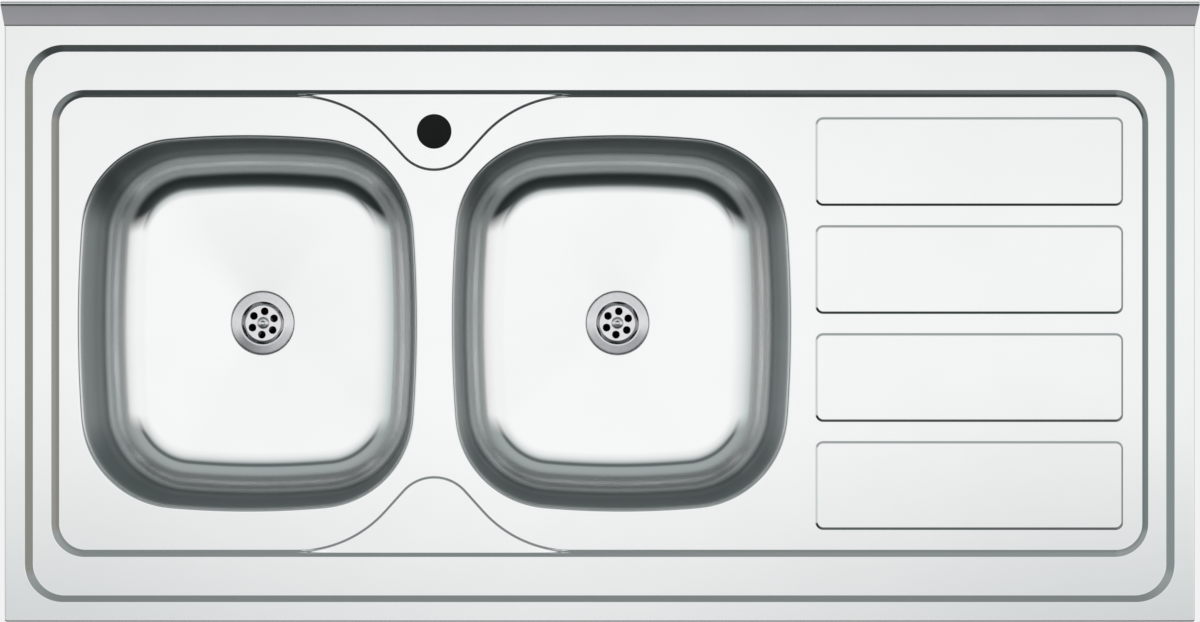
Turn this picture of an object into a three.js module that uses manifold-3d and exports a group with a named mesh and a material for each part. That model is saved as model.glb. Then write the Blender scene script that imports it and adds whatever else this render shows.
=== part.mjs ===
// A lay-on kitchen sink in stainless steel: one pressed top with a folded skirt and a rear upstand,
// two welded bowls on the left, a ribbed drainer on the right and a basket strainer waste in each bowl.
// Millimetres, X to the right, Y to the rear, Z up. The sub-parts are drawn round the middle of the top,
// with Z = 0 on its outer border, and the whole is then placed on the face that rests on the cabinet.

import * as THREE from 'three';
import { mergeVertices } from 'three/addons/utils/BufferGeometryUtils.js';
import Module from 'manifold-3d';

const wasm = await Module();
wasm.setup();

// ---- Pressed top: outline, folded skirt and upstand --------------------------------------------------
const TOP_WIDTH = 1196;
const TOP_DEPTH = 600;
const TOP_SHEET = 0.8;
const EDGE_RADIUS = 1.6; // fold between the border and the skirt
const CORNER_RADIUS = 2.5; // welded front corners of the skirt
const SKIRT_HEIGHT = 30;
const RETURN_WIDTH = 12; // inward fold that lies on the cabinet
const UPSTAND_HEIGHT = 20;
const UPSTAND_ANGLE = 50; // degrees from level
const UPSTAND_COVE = 3;
const UPSTAND_NOSE = 2.5;
const UPSTAND_HEM = 10; // straight return behind the nose

// ---- Pressed top: the two steps round the work area --------------------------------------------------
const BORDER_SIDE = 20;
const BORDER_END = 20;
const STEP_SHOULDER = [0.12, 0.06]; // share of a step's plan width and of its drop, near its top
const STEP_FOOT = [0.93, 0.94]; // the same near its foot
const OUTER_STEP_DROP = 6;
const OUTER_STEP_SIDE = 8.3; // plan width of the ramp, left and right
const OUTER_STEP_END = 6.6; // plan width of the ramp, front and rear
const OUTER_STEP_RADIUS = 39;
const PLATEAU_SIDE = 17.1;
const PLATEAU_END = 38.2;
const INNER_STEP_DROP = 6;
const INNER_STEP_LEFT = 8.3;
const INNER_STEP_RIGHT = 5.8;
const INNER_STEP_END = 7.3;
const INNER_STEP_RADIUS = 34;
const DRAINER_RISE = 1.2; // how much higher the drainer ends than it starts, so that it empties

// ---- Pressed top: tap ledge and its mirrored bell at the front ---------------------------------------
const LEDGE_DROP = 3.6; // of the inner step, down to the ledge
const TAP_HOLE = 35;
const TAP_SETBACK = 37.1; // from the rear edge of the ledge to the tap hole
const BELL_BACK = 3; // from the tap hole back to the middle of the bell's round end
const BELL_RADIUS = 41.5;
const BELL_SWEEP = 48; // degrees of the round end to each side
const BELL_FLARE = 120; // radius that runs out into the step
const BELL_RAMP = 2.8;
const BELL_FOOT = [0.84, 0.85]; // share of the bell's plan width and of its drop, near its foot

// ---- Pressed top: raised drainer panels --------------------------------------------------------------
const PANEL_COUNT = 4;
const PANEL_GAP = 19.1;
const PANEL_MARGIN = 19.7; // to the inner step, front and rear
const PANEL_END_MARGIN = 18.6; // to the inner step, right
const PANEL_START = 22.8; // from the right bowl
const PANEL_RADIUS = 8;
const PANEL_RAMP = 2.7;
const PANEL_HEIGHT = 1.2;
const PANEL_ROUND = [0.25, 0.1]; // share of the ramp's plan width and of its height, near both ends

// ---- Bowls -------------------------------------------------------------------------------------------
const BOWL_WIDTH = 345.2;
const BOWL_LENGTH = 381; // front to rear
const BOWL_DEPTH = 150;
const BOWL_SHEET = 0.7;
const BOWL_MARGIN = 16.2; // from the inner step to the left bowl
const BOWL_SPACING = 32.4; // between the bowls
const BOWL_SIDE_BOW = 1300;
const BOWL_END_BOW = 880;
const BOWL_CORNER = 100;
const BOWL_ROLL = 3; // rolled edge
const BOWL_DRAFT = 4; // degrees
const BOWL_FLOOR_RADIUS = 43;
const BOWL_FLANGE = 4; // flat rim outside the roll, welded into the top
const WELD_GAP = 0.2;
const FLOOR_FALL = 4; // from the foot of the walls to the waste
const SEAT_PLAY = 1.5; // from the strainer's flange to the edge of the round recess that it sits in
const SEAT_RAMP = 2; // plan width of the recess's edge
const SEAT_DEPTH = 2.2;
const SEAT_ANGLE = 10; // degrees that the conical seat falls towards the waste hole
const WASTE_HOLE = 52;

// ---- Wastes ------------------------------------------------------------------------------------------
const FIT = 0.15; // between pieces clamped together
const FLANGE_SEAL = 1.5;
const STRAINER_SHEET = 0.8;
const STRAINER_FLANGE = 66;
const STRAINER_RECESS = 45;
const STRAINER_PLATE = 38;
const STRAINER_DEPTH = 7; // from the rim to the perforated plate
const STRAINER_HOLE = 8;
const STRAINER_HOLES = 6;
const STRAINER_CIRCLE = 25; // pitch circle of the holes
const STRAINER_TURN = 23; // degrees, first hole from +X
const BODY_WASHER = 2; // at its thin inner edge
const BODY_FLANGE = 64;
const BODY_FLANGE_HEIGHT = 4;
const BODY_WALL = 3.6;
const BODY_CUP = 26; // depth of the wide part
const BODY_CONE = 5;
const OUTLET_DIAMETER = 47.8; // one and a half inch pipe thread
const OUTLET_WALL = 3.4;
const OUTLET_LENGTH = 30;
const SCREW_DIAMETER = 6;
const SCREW_HEAD = 13;
const SCREW_HEAD_HEIGHT = 2.6;
const SCREW_HEAD_RIM = 0.8; // upright edge below the dome
const SCREW_SOCKET = 4; // hexagon, across its flats
const SCREW_SOCKET_DEPTH = 2.2;
const SCREW_BEYOND = 2; // screw end below the insert
const SCREW_CLEARANCE = 0.3;
const INSERT_DIAMETER = 10;
const INSERT_HEIGHT = 8;
const HUB_WALL = 3.4;
const HUB_FLOOR = 2;
const SPOKES = 3;
const SPOKE_WIDTH = 3;
const SPOKE_HEIGHT = 7;

// ---- Hidden stiffening, damping and fixing pieces ----------------------------------------------------
const PLATE_THICKNESS = 3; // tap hole stiffener
const PLATE_MARGIN = 5; // inside the bell
const PLATE_REACH = 62; // half width at the rear
const PLATE_HOLE_PLAY = 1;
const CHANNEL_WIDTH = 15;
const CHANNEL_HEIGHT = 14;
const CHANNEL_WALL = 1;
const CHANNEL_INSET = 12; // shorter than the panels at each end
const CHANNEL_GAP = 0.3;
const PAD_THICKNESS = 2.5;
const PAD_GAP = 0.3;
const PAD_OUTER = 0.12; // share of the way from the walls to the waste
const PAD_INNER = 0.72;
const BRACKET_SHEET = 1.5;
const BRACKET_WIDTH = 30;
const BRACKET_DROP = 46;
const BRACKET_SETBACK = 95; // from the front and rear of the top
const CABINET_WALL = 16; // side panel that the sink stands on
const SLOT_WIDTH = 5.5;
const SLOT_LENGTH = 26;
const SLOT_ANGLE = 45;

// ---- How finely curves are cut -----------------------------------------------------------------------
const STEP_CHORDS = 7;
const PANEL_CHORDS = 4;
const BELL_CHORDS = 10;
const FLARE_CHORDS = 6;
const BOWL_CORNER_CHORDS = 7;
const BOWL_BOW_CHORDS = 3;
const ROUND_CHORDS = 28;
const SMALL_CHORDS = 12;

const { degToRad, lerp } = THREE.MathUtils;

// ---- Levels and places that follow from the sizes above ----------------------------------------------
const PLATEAU_Z = -OUTER_STEP_DROP;
const LEDGE_Z = PLATEAU_Z - LEDGE_DROP;
const DECK_Z = PLATEAU_Z - INNER_STEP_DROP;

const outerStep = {
  top: boxInside(-BORDER_SIDE, -BORDER_SIDE, -BORDER_END),
  foot: boxInside(
    -BORDER_SIDE - OUTER_STEP_SIDE,
    -BORDER_SIDE - OUTER_STEP_SIDE,
    -BORDER_END - OUTER_STEP_END,
  ),
};
const innerStep = {
  top: shrink(outerStep.foot, PLATEAU_SIDE, PLATEAU_SIDE, PLATEAU_END),
};
innerStep.foot = shrink(innerStep.top, INNER_STEP_LEFT, INNER_STEP_RIGHT, INNER_STEP_END);

const LEFT_BOWL_X = innerStep.foot.left + BOWL_MARGIN + BOWL_WIDTH / 2;
const RIGHT_BOWL_X = LEFT_BOWL_X + BOWL_WIDTH + BOWL_SPACING;
const CREASE_X = RIGHT_BOWL_X + BOWL_WIDTH / 2 + PANEL_START / 2;
const DRAINER_SLOPE = DRAINER_RISE / (innerStep.foot.right - CREASE_X);
const TAP_X = (LEFT_BOWL_X + RIGHT_BOWL_X) / 2;
const LEDGE_SHARE = LEDGE_DROP / INNER_STEP_DROP;
const LEDGE_Y = innerStep.foot.back + BELL_RAMP;
const TAP_Y = LEDGE_Y - TAP_SETBACK;
const BELL_Y = TAP_Y + BELL_BACK;
const SEAT_RADIUS = STRAINER_FLANGE / 2 + SEAT_PLAY; // the recess's edge at the bowl's floor

/** The height of the work surface, level by the bowls and rising along the drainer. */
function deckLevel(x) {
  return DECK_Z + DRAINER_SLOPE * Math.max(0, x - CREASE_X);
}

/** The top's outline moved in by the given amounts, which are negative inwards. */
function boxInside(left, right, end) {
  return {
    left: -TOP_WIDTH / 2 - left,
    right: TOP_WIDTH / 2 + right,
    front: -TOP_DEPTH / 2 - end,
    back: TOP_DEPTH / 2 + end,
  };
}

/** A box made smaller on the left, on the right, and alike at front and rear. */
function shrink(box, left, right, end) {
  return { left: box.left + left, right: box.right - right, front: box.front + end, back: box.back - end };
}

// ---- Outlines ----------------------------------------------------------------------------------------

/** Points [x, y] on an arc, both ends included, from one angle to another in degrees. */
function arc(x, y, radius, from, to, chords) {
  return Array.from({ length: chords + 1 }, (_, i) => {
    const angle = degToRad(lerp(from, to, i / chords));
    return [x + radius * Math.cos(angle), y + radius * Math.sin(angle)];
  });
}

/** A closed anticlockwise circle. */
function circle(x, y, radius, chords) {
  return arc(x, y, radius, 0, 360, chords).slice(0, -1);
}

/** The four corner arcs of a rounded box, anticlockwise from the right rear one. */
function cornerArcs(box, radius, chords) {
  const { left, right, front, back } = box;
  return [
    arc(right - radius, back - radius, radius, 0, 90, chords),
    arc(left + radius, back - radius, radius, 90, 180, chords),
    arc(left + radius, front + radius, radius, 180, 270, chords),
    arc(right - radius, front + radius, radius, 270, 360, chords),
  ];
}

/** Points part of the way from one outline to another of as many points. */
function between(from, to, share) {
  return from.map((point, i) => [lerp(point[0], to[i][0], share), lerp(point[1], to[i][1], share)]);
}

/** Gives an outline its height, a number or a function of x and y. */
function raise(outline, height) {
  return outline.map(([x, y]) => [x, y, typeof height === 'function' ? height(x, y) : height]);
}

/** The bell's curve from its right end to its left end, moved towards the tap hole by the offset. */
function bellCurve(offset) {
  const round = BELL_RADIUS - offset;
  const flare = BELL_FLARE + offset;
  const sweep = degToRad(BELL_SWEEP);
  const middle = LEDGE_Y - BELL_RAMP / 2;
  const drop = middle - (BELL_Y - BELL_RADIUS * Math.cos(sweep)) - BELL_FLARE * (1 - Math.cos(sweep));
  const run = BELL_RADIUS * Math.sin(sweep) + drop / Math.tan(sweep) + BELL_FLARE * Math.sin(sweep);
  const flareY = middle - BELL_FLARE;
  return [
    ...arc(TAP_X + run, flareY, flare, 90, 90 + BELL_SWEEP, FLARE_CHORDS),
    ...arc(TAP_X, BELL_Y, round, BELL_SWEEP - 90, -BELL_SWEEP - 90, BELL_CHORDS),
    ...arc(TAP_X - run, flareY, flare, 90 - BELL_SWEEP, 90, FLARE_CHORDS),
  ];
}

/** Where two circles meet, on the side of positive x and y. */
function circlesMeet(a, radiusA, b, radiusB) {
  const gap = a.distanceTo(b);
  const along = (radiusA ** 2 - radiusB ** 2 + gap ** 2) / (2 * gap);
  const aside = Math.sqrt(radiusA ** 2 - along ** 2);
  const way = b.clone().sub(a).divideScalar(gap);
  const foot = a.clone().addScaledVector(way, along);
  const normal = new THREE.Vector2(-way.y, way.x);
  const first = foot.clone().addScaledVector(normal, aside);
  const second = foot.clone().addScaledVector(normal, -aside);
  return first.x + first.y > second.x + second.y ? first : second;
}

/** The bowl's bowed rim, moved inwards by the inset, round the bowl's own middle. */
function bowlOutline(inset) {
  const side = new THREE.Vector2(BOWL_WIDTH / 2 - BOWL_SIDE_BOW, 0);
  const end = new THREE.Vector2(0, BOWL_LENGTH / 2 - BOWL_END_BOW);
  const corner = circlesMeet(side, BOWL_SIDE_BOW - BOWL_CORNER, end, BOWL_END_BOW - BOWL_CORNER);
  const low = THREE.MathUtils.radToDeg(Math.atan2(corner.y, corner.x - side.x));
  const high = THREE.MathUtils.radToDeg(Math.atan2(corner.y - end.y, corner.x));
  const radius = BOWL_CORNER - inset;
  const sideBow = arc(side.x, 0, BOWL_SIDE_BOW - inset, -low, low, BOWL_BOW_CHORDS).slice(1, -1);
  const cornerBow = arc(corner.x, corner.y, radius, low, high, BOWL_CORNER_CHORDS);
  const endBow = arc(0, end.y, BOWL_END_BOW - inset, high, 180 - high, BOWL_BOW_CHORDS).slice(1, -1);
  const flipX = (points) => points.map(([x, y]) => [-x, y]).reverse();
  const flipY = (points) => points.map(([x, y]) => [x, -y]).reverse();
  return [
    ...sideBow,
    ...cornerBow,
    ...endBow,
    ...flipX(cornerBow),
    ...flipX(sideBow),
    ...flipX(flipY(cornerBow)),
    ...flipY(endBow),
    ...flipY(cornerBow),
  ];
}

// ---- Solids ------------------------------------------------------------------------------------------

/** A pressed sheet, drawn by its good face: each point carries its partner on the other face. */
class Sheet {
  constructor() {
    this.face = [];
    this.back = [];
    this.triangles = [];
  }

  /** Adds a row of points with their partners and returns their numbers. */
  row(face, back) {
    const first = this.face.length;
    this.face.push(...face);
    this.back.push(...back);
    return face.map((_, i) => first + i);
  }

  /** Adds a row whose partners lie straight below by the sheet's thickness. */
  flatRow(face, thickness) {
    return this.row(face, face.map(([x, y, z]) => [x, y, z - thickness]));
  }

  /** Joins two rows of as many points; the outer row runs anticlockwise round the inner one. */
  strip(outer, inner, closed = true) {
    const last = closed ? outer.length : outer.length - 1;
    for (let i = 0; i < last; i += 1) {
      const next = (i + 1) % outer.length;
      this.triangles.push([outer[i], outer[next], inner[next]], [outer[i], inner[next], inner[i]]);
    }
  }

  /** Joins rows one after the other, from the outermost inwards. */
  strips(rows, closed = true) {
    for (let i = 1; i < rows.length; i += 1) this.strip(rows[i - 1], rows[i], closed);
  }

  /** Fills a flat area inside a row, round any holes. */
  fill(contour, holes = []) {
    const flat = (numbers) => numbers.map((n) => new THREE.Vector2(this.face[n][0], this.face[n][1]));
    const numbers = [contour, ...holes].flat();
    const triangles = THREE.ShapeUtils.triangulateShape(flat(contour), holes.map(flat));
    for (const triangle of triangles) {
      const [a, b, c] = triangle.map((i) => numbers[i]);
      const up = THREE.ShapeUtils.area(flat([a, b, c])) > 0;
      this.triangles.push(up ? [a, b, c] : [a, c, b]);
    }
  }

  /** Closes the sheet with its other face and a wall along every free edge. */
  geometry() {
    const count = this.face.length;
    const index = [];
    const edges = new Set(this.triangles.flatMap(([a, b, c]) => [`${a},${b}`, `${b},${c}`, `${c},${a}`]));
    for (const [a, b, c] of this.triangles) index.push(a, b, c, c + count, b + count, a + count);
    for (const edge of edges) {
      const [a, b] = edge.split(',').map(Number);
      if (!edges.has(`${b},${a}`)) index.push(b, a, a + count, b, a + count, b + count);
    }
    const geometry = new THREE.BufferGeometry();
    const points = [...this.face, ...this.back].flat();
    geometry.setAttribute('position', new THREE.Float32BufferAttribute(points, 3));
    geometry.setIndex(index);
    return geometry;
  }
}

/** A geometry with its seams merged, its empty triangles dropped and its faces pointing out. */
function closed(source) {
  const bare = new THREE.BufferGeometry();
  bare.setAttribute('position', source.getAttribute('position').clone());
  if (source.index) bare.setIndex(source.index.clone());
  const merged = mergeVertices(bare, 1e-4);
  const corner = (i) => new THREE.Vector3().fromBufferAttribute(merged.getAttribute('position'), i);
  const index = [];
  let volume = 0;
  for (let i = 0; i < merged.index.count; i += 3) {
    const [a, b, c] = [0, 1, 2].map((k) => merged.index.getX(i + k));
    if (a === b || b === c || c === a) continue;
    index.push(a, b, c);
    volume += corner(a).dot(corner(b).cross(corner(c)));
  }
  if (volume < 0) index.reverse();
  merged.setIndex(index);
  return merged;
}

/** A closed geometry as a solid that can be joined and cut. */
function toSolid(geometry) {
  const merged = closed(geometry);
  return new wasm.Manifold(new wasm.Mesh({
    numProp: 3,
    vertProperties: new Float32Array(merged.getAttribute('position').array),
    triVerts: new Uint32Array(merged.index.array),
  }));
}

/** A joined or cut solid as a geometry. */
function fromSolid(solid) {
  const mesh = solid.getMesh();
  const geometry = new THREE.BufferGeometry();
  geometry.setAttribute('position', new THREE.Float32BufferAttribute(mesh.vertProperties, 3));
  geometry.setIndex(Array.from(mesh.triVerts));
  return geometry;
}

/** A profile of [radius, height] points turned about Z. */
function turned(profile, chords = ROUND_CHORDS) {
  const points = profile.map(([radius, height]) => new THREE.Vector2(radius, height));
  return closed(new THREE.LatheGeometry(points, chords).rotateX(Math.PI / 2));
}

/** A flat ring of the given radii, standing on a height. */
function ring(inner, outer, bottom, height, chords) {
  const top = bottom + height;
  return turned([[inner, bottom], [outer, bottom], [outer, top], [inner, top], [inner, bottom]], chords);
}

/** An outline of [x, y] points made solid upwards from a height. */
function raised(outline, bottom, height, holes = []) {
  const shape = new THREE.Shape(outline.map(([x, y]) => new THREE.Vector2(x, y)));
  shape.holes = holes.map((hole) => new THREE.Path(hole.map(([x, y]) => new THREE.Vector2(x, y))));
  const settings = { depth: height, bevelEnabled: false };
  return new THREE.ExtrudeGeometry(shape, settings).translate(0, 0, bottom);
}

// ---- Pressed top -------------------------------------------------------------------------------------

/** A pressed step's profile: the share of its plan width and of its drop at each row. */
const STEP_ROWS = [[0, 0], STEP_SHOULDER, STEP_FOOT, [1, 1]];

/** The folded outline, open at the rear: from the left rear end round the front to the right rear. */
function skirtPath(inset) {
  const radius = Math.max(CORNER_RADIUS - inset, CORNER_RADIUS / 10);
  const box = boxInside(-inset, -inset, -inset);
  const [, , leftFront, rightFront] = cornerArcs(box, radius, 2);
  const rear = TOP_DEPTH / 2;
  return [[box.left, rear], ...leftFront, ...rightFront, [box.right, rear]];
}

/** The upstand's section as [y, z] points of its front face, moved into the sheet by the depth. */
function upstandSection(depth) {
  const angle = degToRad(UPSTAND_ANGLE);
  const fall = 1 - Math.cos(angle);
  const slope = (UPSTAND_HEIGHT - (UPSTAND_COVE + UPSTAND_NOSE) * fall) / Math.sin(angle);
  const coveY = TOP_DEPTH / 2;
  const noseY = coveY + (UPSTAND_COVE + UPSTAND_NOSE) * Math.sin(angle) + slope * Math.cos(angle);
  const noseZ = UPSTAND_HEIGHT - UPSTAND_NOSE;
  const nose = UPSTAND_NOSE - depth;
  return [
    ...arc(coveY, UPSTAND_COVE, UPSTAND_COVE + depth, -90, UPSTAND_ANGLE - 90, 3),
    ...arc(noseY, noseZ, nose, 90 + UPSTAND_ANGLE, 0, 5),
    [noseY + nose, noseZ - UPSTAND_HEM],
  ];
}

/** The fold, skirt and return on three sides. Returns the row that borders the flat top. */
function foldSkirt(sheet) {
  const inner = EDGE_RADIUS - TOP_SHEET;
  const foldRow = (angle) => {
    const outwards = 1 - Math.sin(degToRad(angle));
    const down = 1 - Math.cos(degToRad(angle));
    return sheet.row(
      raise(skirtPath(EDGE_RADIUS * outwards), -EDGE_RADIUS * down),
      raise(skirtPath(TOP_SHEET + inner * outwards), -TOP_SHEET - inner * down),
    );
  };
  const fold = [90, 45, 0].map(foldRow);
  const foot = sheet.row(
    raise(skirtPath(0), -SKIRT_HEIGHT),
    raise(skirtPath(TOP_SHEET), TOP_SHEET - SKIRT_HEIGHT),
  );
  const lip = sheet.row(
    raise(skirtPath(RETURN_WIDTH), -SKIRT_HEIGHT),
    raise(skirtPath(RETURN_WIDTH), TOP_SHEET - SKIRT_HEIGHT),
  );
  sheet.strips([lip, foot, ...fold], false);
  return fold[2];
}

/** The upstand, folded up from the rear edge between the two ends of the border row. */
function foldUpstand(sheet, border) {
  const [face, back] = [0, TOP_SHEET].map((depth) => upstandSection(depth).slice(1));
  const across = ([y, z]) => [[TOP_WIDTH / 2, y, z], [-TOP_WIDTH / 2, y, z]];
  const rows = face.map((point, i) => sheet.row(across(point), across(back[i])));
  sheet.strips([...rows.reverse(), [border.at(-1), border[0]]], false);
}

/** One of the outer step's rows, by its share of the way down. */
function outerStepRow(sheet, [plan, drop]) {
  const top = cornerArcs(outerStep.top, OUTER_STEP_RADIUS, STEP_CHORDS).flat();
  const radius = OUTER_STEP_RADIUS - (OUTER_STEP_SIDE + OUTER_STEP_END) / 2;
  const foot = cornerArcs(outerStep.foot, radius, STEP_CHORDS).flat();
  return sheet.flatRow(raise(between(top, foot, plan), -OUTER_STEP_DROP * drop), TOP_SHEET);
}

/** The inner step's outline at its top or foot, with the bell's ends and the crease on its long sides. */
function innerStepOutline(box, radius, bellEnds) {
  const [rightRear, leftRear, leftFront, rightFront] = cornerArcs(box, radius, STEP_CHORDS);
  return [
    ...rightRear,
    [CREASE_X, box.back],
    ...bellEnds.map((x) => [x, box.back]),
    ...leftRear,
    ...leftFront,
    ...bellEnds.toReversed().map((x) => [x, box.front]),
    [CREASE_X, box.front],
    ...rightFront,
  ];
}

/** Mirrors an outline front to rear and keeps it running the same way round. */
function mirrored(outline) {
  return outline.map(([x, y]) => [x, -y]).reverse();
}

/** The inner step with the two bells, down to the row that borders the work surface. */
function pressInnerStep(sheet) {
  const upper = bellCurve(BELL_RAMP / 2);
  const lower = bellCurve(-BELL_RAMP / 2);
  const bellEnds = [upper[0][0], upper.at(-1)[0]];
  const footRadius = INNER_STEP_RADIUS - (INNER_STEP_LEFT + INNER_STEP_END) / 2;
  const top = innerStepOutline(innerStep.top, INNER_STEP_RADIUS, bellEnds);
  const foot = innerStepOutline(innerStep.foot, footRadius, bellEnds);
  const ledgePlan = 1 - BELL_RAMP / INNER_STEP_END;
  const profile = [[0, 0], STEP_SHOULDER, [ledgePlan, LEDGE_SHARE], STEP_FOOT, [1, 1]];
  const rows = profile.map(([plan, share]) => {
    const outline = between(top, foot, plan);
    const level = (i) => lerp(PLATEAU_Z, deckLevel(foot[i][0]), share);
    return sheet.flatRow(outline.map((point, i) => [...point, level(i)]), TOP_SHEET);
  });
  sheet.strips(rows.slice(0, 3));

  const rearStart = STEP_CHORDS + 2;
  const frontStart = rearStart + 2 * STEP_CHORDS + 4;
  const bells = [[rearStart, upper, lower], [frontStart, mirrored(upper), mirrored(lower)]].map(
    ([start, high, low]) => {
      const curves = [[0, 0], BELL_FOOT, [1, 1]].map(([plan, share]) => {
        const outline = between(high, low, plan).slice(1, -1);
        return sheet.flatRow(raise(outline, lerp(LEDGE_Z, DECK_Z, share)), TOP_SHEET);
      });
      return { start, curves };
    },
  );
  const work = joinBells(sheet, rows.slice(2), bells);
  return { plateau: rows[0], ledge: rows[2], bells, work };
}

/** Joins the lower half of the inner step along its straights and round both bells. */
function joinBells(sheet, rows, bells) {
  const around = rows.map((row, level) => {
    const numbers = [...row];
    for (const { start, curves } of bells.toReversed()) numbers.splice(start + 1, 0, ...curves[level]);
    return numbers;
  });
  sheet.strips(around);
  return around[2];
}

/** The drainer's raised panels, as rows: each outline and its raised top. */
function pressPanels(sheet) {
  const left = RIGHT_BOWL_X + BOWL_WIDTH / 2 + PANEL_START;
  const right = innerStep.foot.right - PANEL_END_MARGIN;
  const front = innerStep.foot.front + PANEL_MARGIN;
  const length = innerStep.foot.back - PANEL_MARGIN - front;
  const depth = (length - (PANEL_COUNT - 1) * PANEL_GAP) / PANEL_COUNT;
  return Array.from({ length: PANEL_COUNT }, (_, i) => {
    const start = front + i * (depth + PANEL_GAP);
    const box = { left, right, front: start, back: start + depth };
    const outline = cornerArcs(box, PANEL_RADIUS, PANEL_CHORDS).flat();
    const inner = shrink(box, PANEL_RAMP, PANEL_RAMP, PANEL_RAMP);
    const crown = cornerArcs(inner, PANEL_RADIUS - PANEL_RAMP, PANEL_CHORDS).flat();
    const [foot, lip] = [PANEL_ROUND, PANEL_ROUND.map((share) => 1 - share)];
    const rows = [[0, 0], foot, lip, [1, 1]].map(([plan, lift]) => {
      const height = (x) => deckLevel(x) + PANEL_HEIGHT * lift;
      return sheet.flatRow(raise(between(outline, crown, plan), height), TOP_SHEET);
    });
    sheet.strips(rows);
    sheet.fill(rows[3]);
    return rows[0];
  });
}

/** The whole top, from its folded edges inwards to the openings for the bowls and the tap. */
function makeTop() {
  const sheet = new Sheet();
  const border = foldSkirt(sheet);
  foldUpstand(sheet, border);

  const outer = STEP_ROWS.map((share) => outerStepRow(sheet, share));
  sheet.fill(border, [outer[0]]);
  sheet.strips(outer);

  const { plateau, ledge, bells, work } = pressInnerStep(sheet);
  sheet.fill(outer[3], [plateau]);

  const [rear, front] = bells.map(({ start, curves }) => [
    ledge[start],
    ...curves[0],
    ledge[start + 1],
  ]);
  const tapHole = sheet.flatRow(raise(circle(TAP_X, TAP_Y, TAP_HOLE / 2, ROUND_CHORDS), LEDGE_Z), TOP_SHEET);
  sheet.fill(rear, [tapHole]);
  sheet.fill(front);

  const openings = [LEFT_BOWL_X, RIGHT_BOWL_X].map((x) => {
    const outline = bowlOutline(-BOWL_FLANGE).map(([px, py]) => [px + x, py]);
    return sheet.flatRow(raise(outline, DECK_Z), TOP_SHEET);
  });
  const rightSide = (n) => sheet.face[n][0] >= CREASE_X;
  const leftSide = (n) => sheet.face[n][0] <= CREASE_X;
  const crease = work.findIndex((n, i) => i > 0 && leftSide(n));
  const turnedRow = [...work.slice(crease), ...work.slice(0, crease)];
  sheet.fill(turnedRow.filter(leftSide), openings);
  sheet.fill(work.filter(rightSide), pressPanels(sheet));
  return sheet.geometry();
}

// ---- Bowls -------------------------------------------------------------------------------------------

/** The bowl wall's section: [inset, height, normal angle] from the flange to the foot of the wall. */
function bowlSection() {
  const steep = 90 - BOWL_DRAFT;
  const roll = [0, 0.33, 0.67, 1].map((share) => {
    const angle = steep * share;
    return [
      BOWL_ROLL * Math.sin(degToRad(angle)),
      BOWL_ROLL * (Math.cos(degToRad(angle)) - 1),
      angle,
    ];
  });
  const [inset, height] = roll.at(-1);
  const wallEnd = BOWL_FLOOR_RADIUS * (1 - Math.cos(degToRad(steep))) - BOWL_DEPTH;
  const lean = (height - wallEnd) * Math.tan(degToRad(BOWL_DRAFT));
  const floorInset = inset + lean + BOWL_FLOOR_RADIUS * Math.sin(degToRad(steep));
  const sweep = [1, 0.75, 0.5, 0.25, 0].map((share) => {
    const angle = steep * share;
    return [
      floorInset - BOWL_FLOOR_RADIUS * Math.sin(degToRad(angle)),
      BOWL_FLOOR_RADIUS * (1 - Math.cos(degToRad(angle))) - BOWL_DEPTH,
      angle,
    ];
  });
  return [[WELD_GAP - BOWL_FLANGE, 0, 0], ...roll, ...sweep];
}

/** The floor's outline part of the way from the foot of the walls to the round waste seat. */
function floorOutline(share) {
  const foot = bowlOutline(bowlSection().at(-1)[0]);
  const seat = foot.map(([x, y]) => {
    const reach = Math.hypot(x, y);
    return [(x / reach) * SEAT_RADIUS, (y / reach) * SEAT_RADIUS];
  });
  return between(foot, seat, share);
}

/** The round rows of the waste seat, on the same spokes as the floor's outline. */
function seatOutline(radius) {
  return floorOutline(1).map(([x, y]) => [(x / SEAT_RADIUS) * radius, (y / SEAT_RADIUS) * radius]);
}

/** The floor's height over the bowl's own level at a share of the way to the waste. */
function floorLevel(share) {
  return -BOWL_DEPTH - FLOOR_FALL * share;
}

const SEAT_LEVEL = floorLevel(1) - SEAT_DEPTH;
const SEAT_EDGE = SEAT_RADIUS - SEAT_RAMP; // outer radius of the conical seat
const SEAT_SLOPE = Math.tan(degToRad(SEAT_ANGLE));

/** The height of the conical seat at a radius, over its outer edge. */
function seatFall(radius) {
  return (radius - SEAT_EDGE) * SEAT_SLOPE;
}

/** A bowl from its flange to the hole for the waste, with Z = 0 at the work surface. */
function makeBowl() {
  const sheet = new Sheet();
  const rows = bowlSection().map(([inset, height, angle]) => {
    const inwards = Math.sin(degToRad(angle)) * BOWL_SHEET;
    const upwards = Math.cos(degToRad(angle)) * BOWL_SHEET;
    return sheet.row(
      raise(bowlOutline(inset), height),
      raise(bowlOutline(inset - inwards), height - upwards),
    );
  });
  rows.push(sheet.flatRow(raise(floorOutline(0.5), floorLevel(0.5)), BOWL_SHEET));
  rows.push(sheet.flatRow(raise(floorOutline(1), floorLevel(1)), BOWL_SHEET));
  for (const radius of [SEAT_EDGE, WASTE_HOLE / 2]) {
    rows.push(sheet.flatRow(raise(seatOutline(radius), SEAT_LEVEL + seatFall(radius)), BOWL_SHEET));
  }
  sheet.strips(rows);
  return sheet.geometry();
}

/** A damping pad stuck under a bowl's floor, all round the waste. */
function makePad() {
  const sheet = new Sheet();
  const rows = [PAD_OUTER, (PAD_OUTER + PAD_INNER) / 2, PAD_INNER].map((share) =>
    sheet.flatRow(raise(floorOutline(share), floorLevel(share) - BOWL_SHEET - PAD_GAP), PAD_THICKNESS));
  sheet.strips(rows);
  return sheet.geometry();
}

// ---- Wastes: Z = 0 at the outer edge of the bowl's conical seat -------------------------------------

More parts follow.
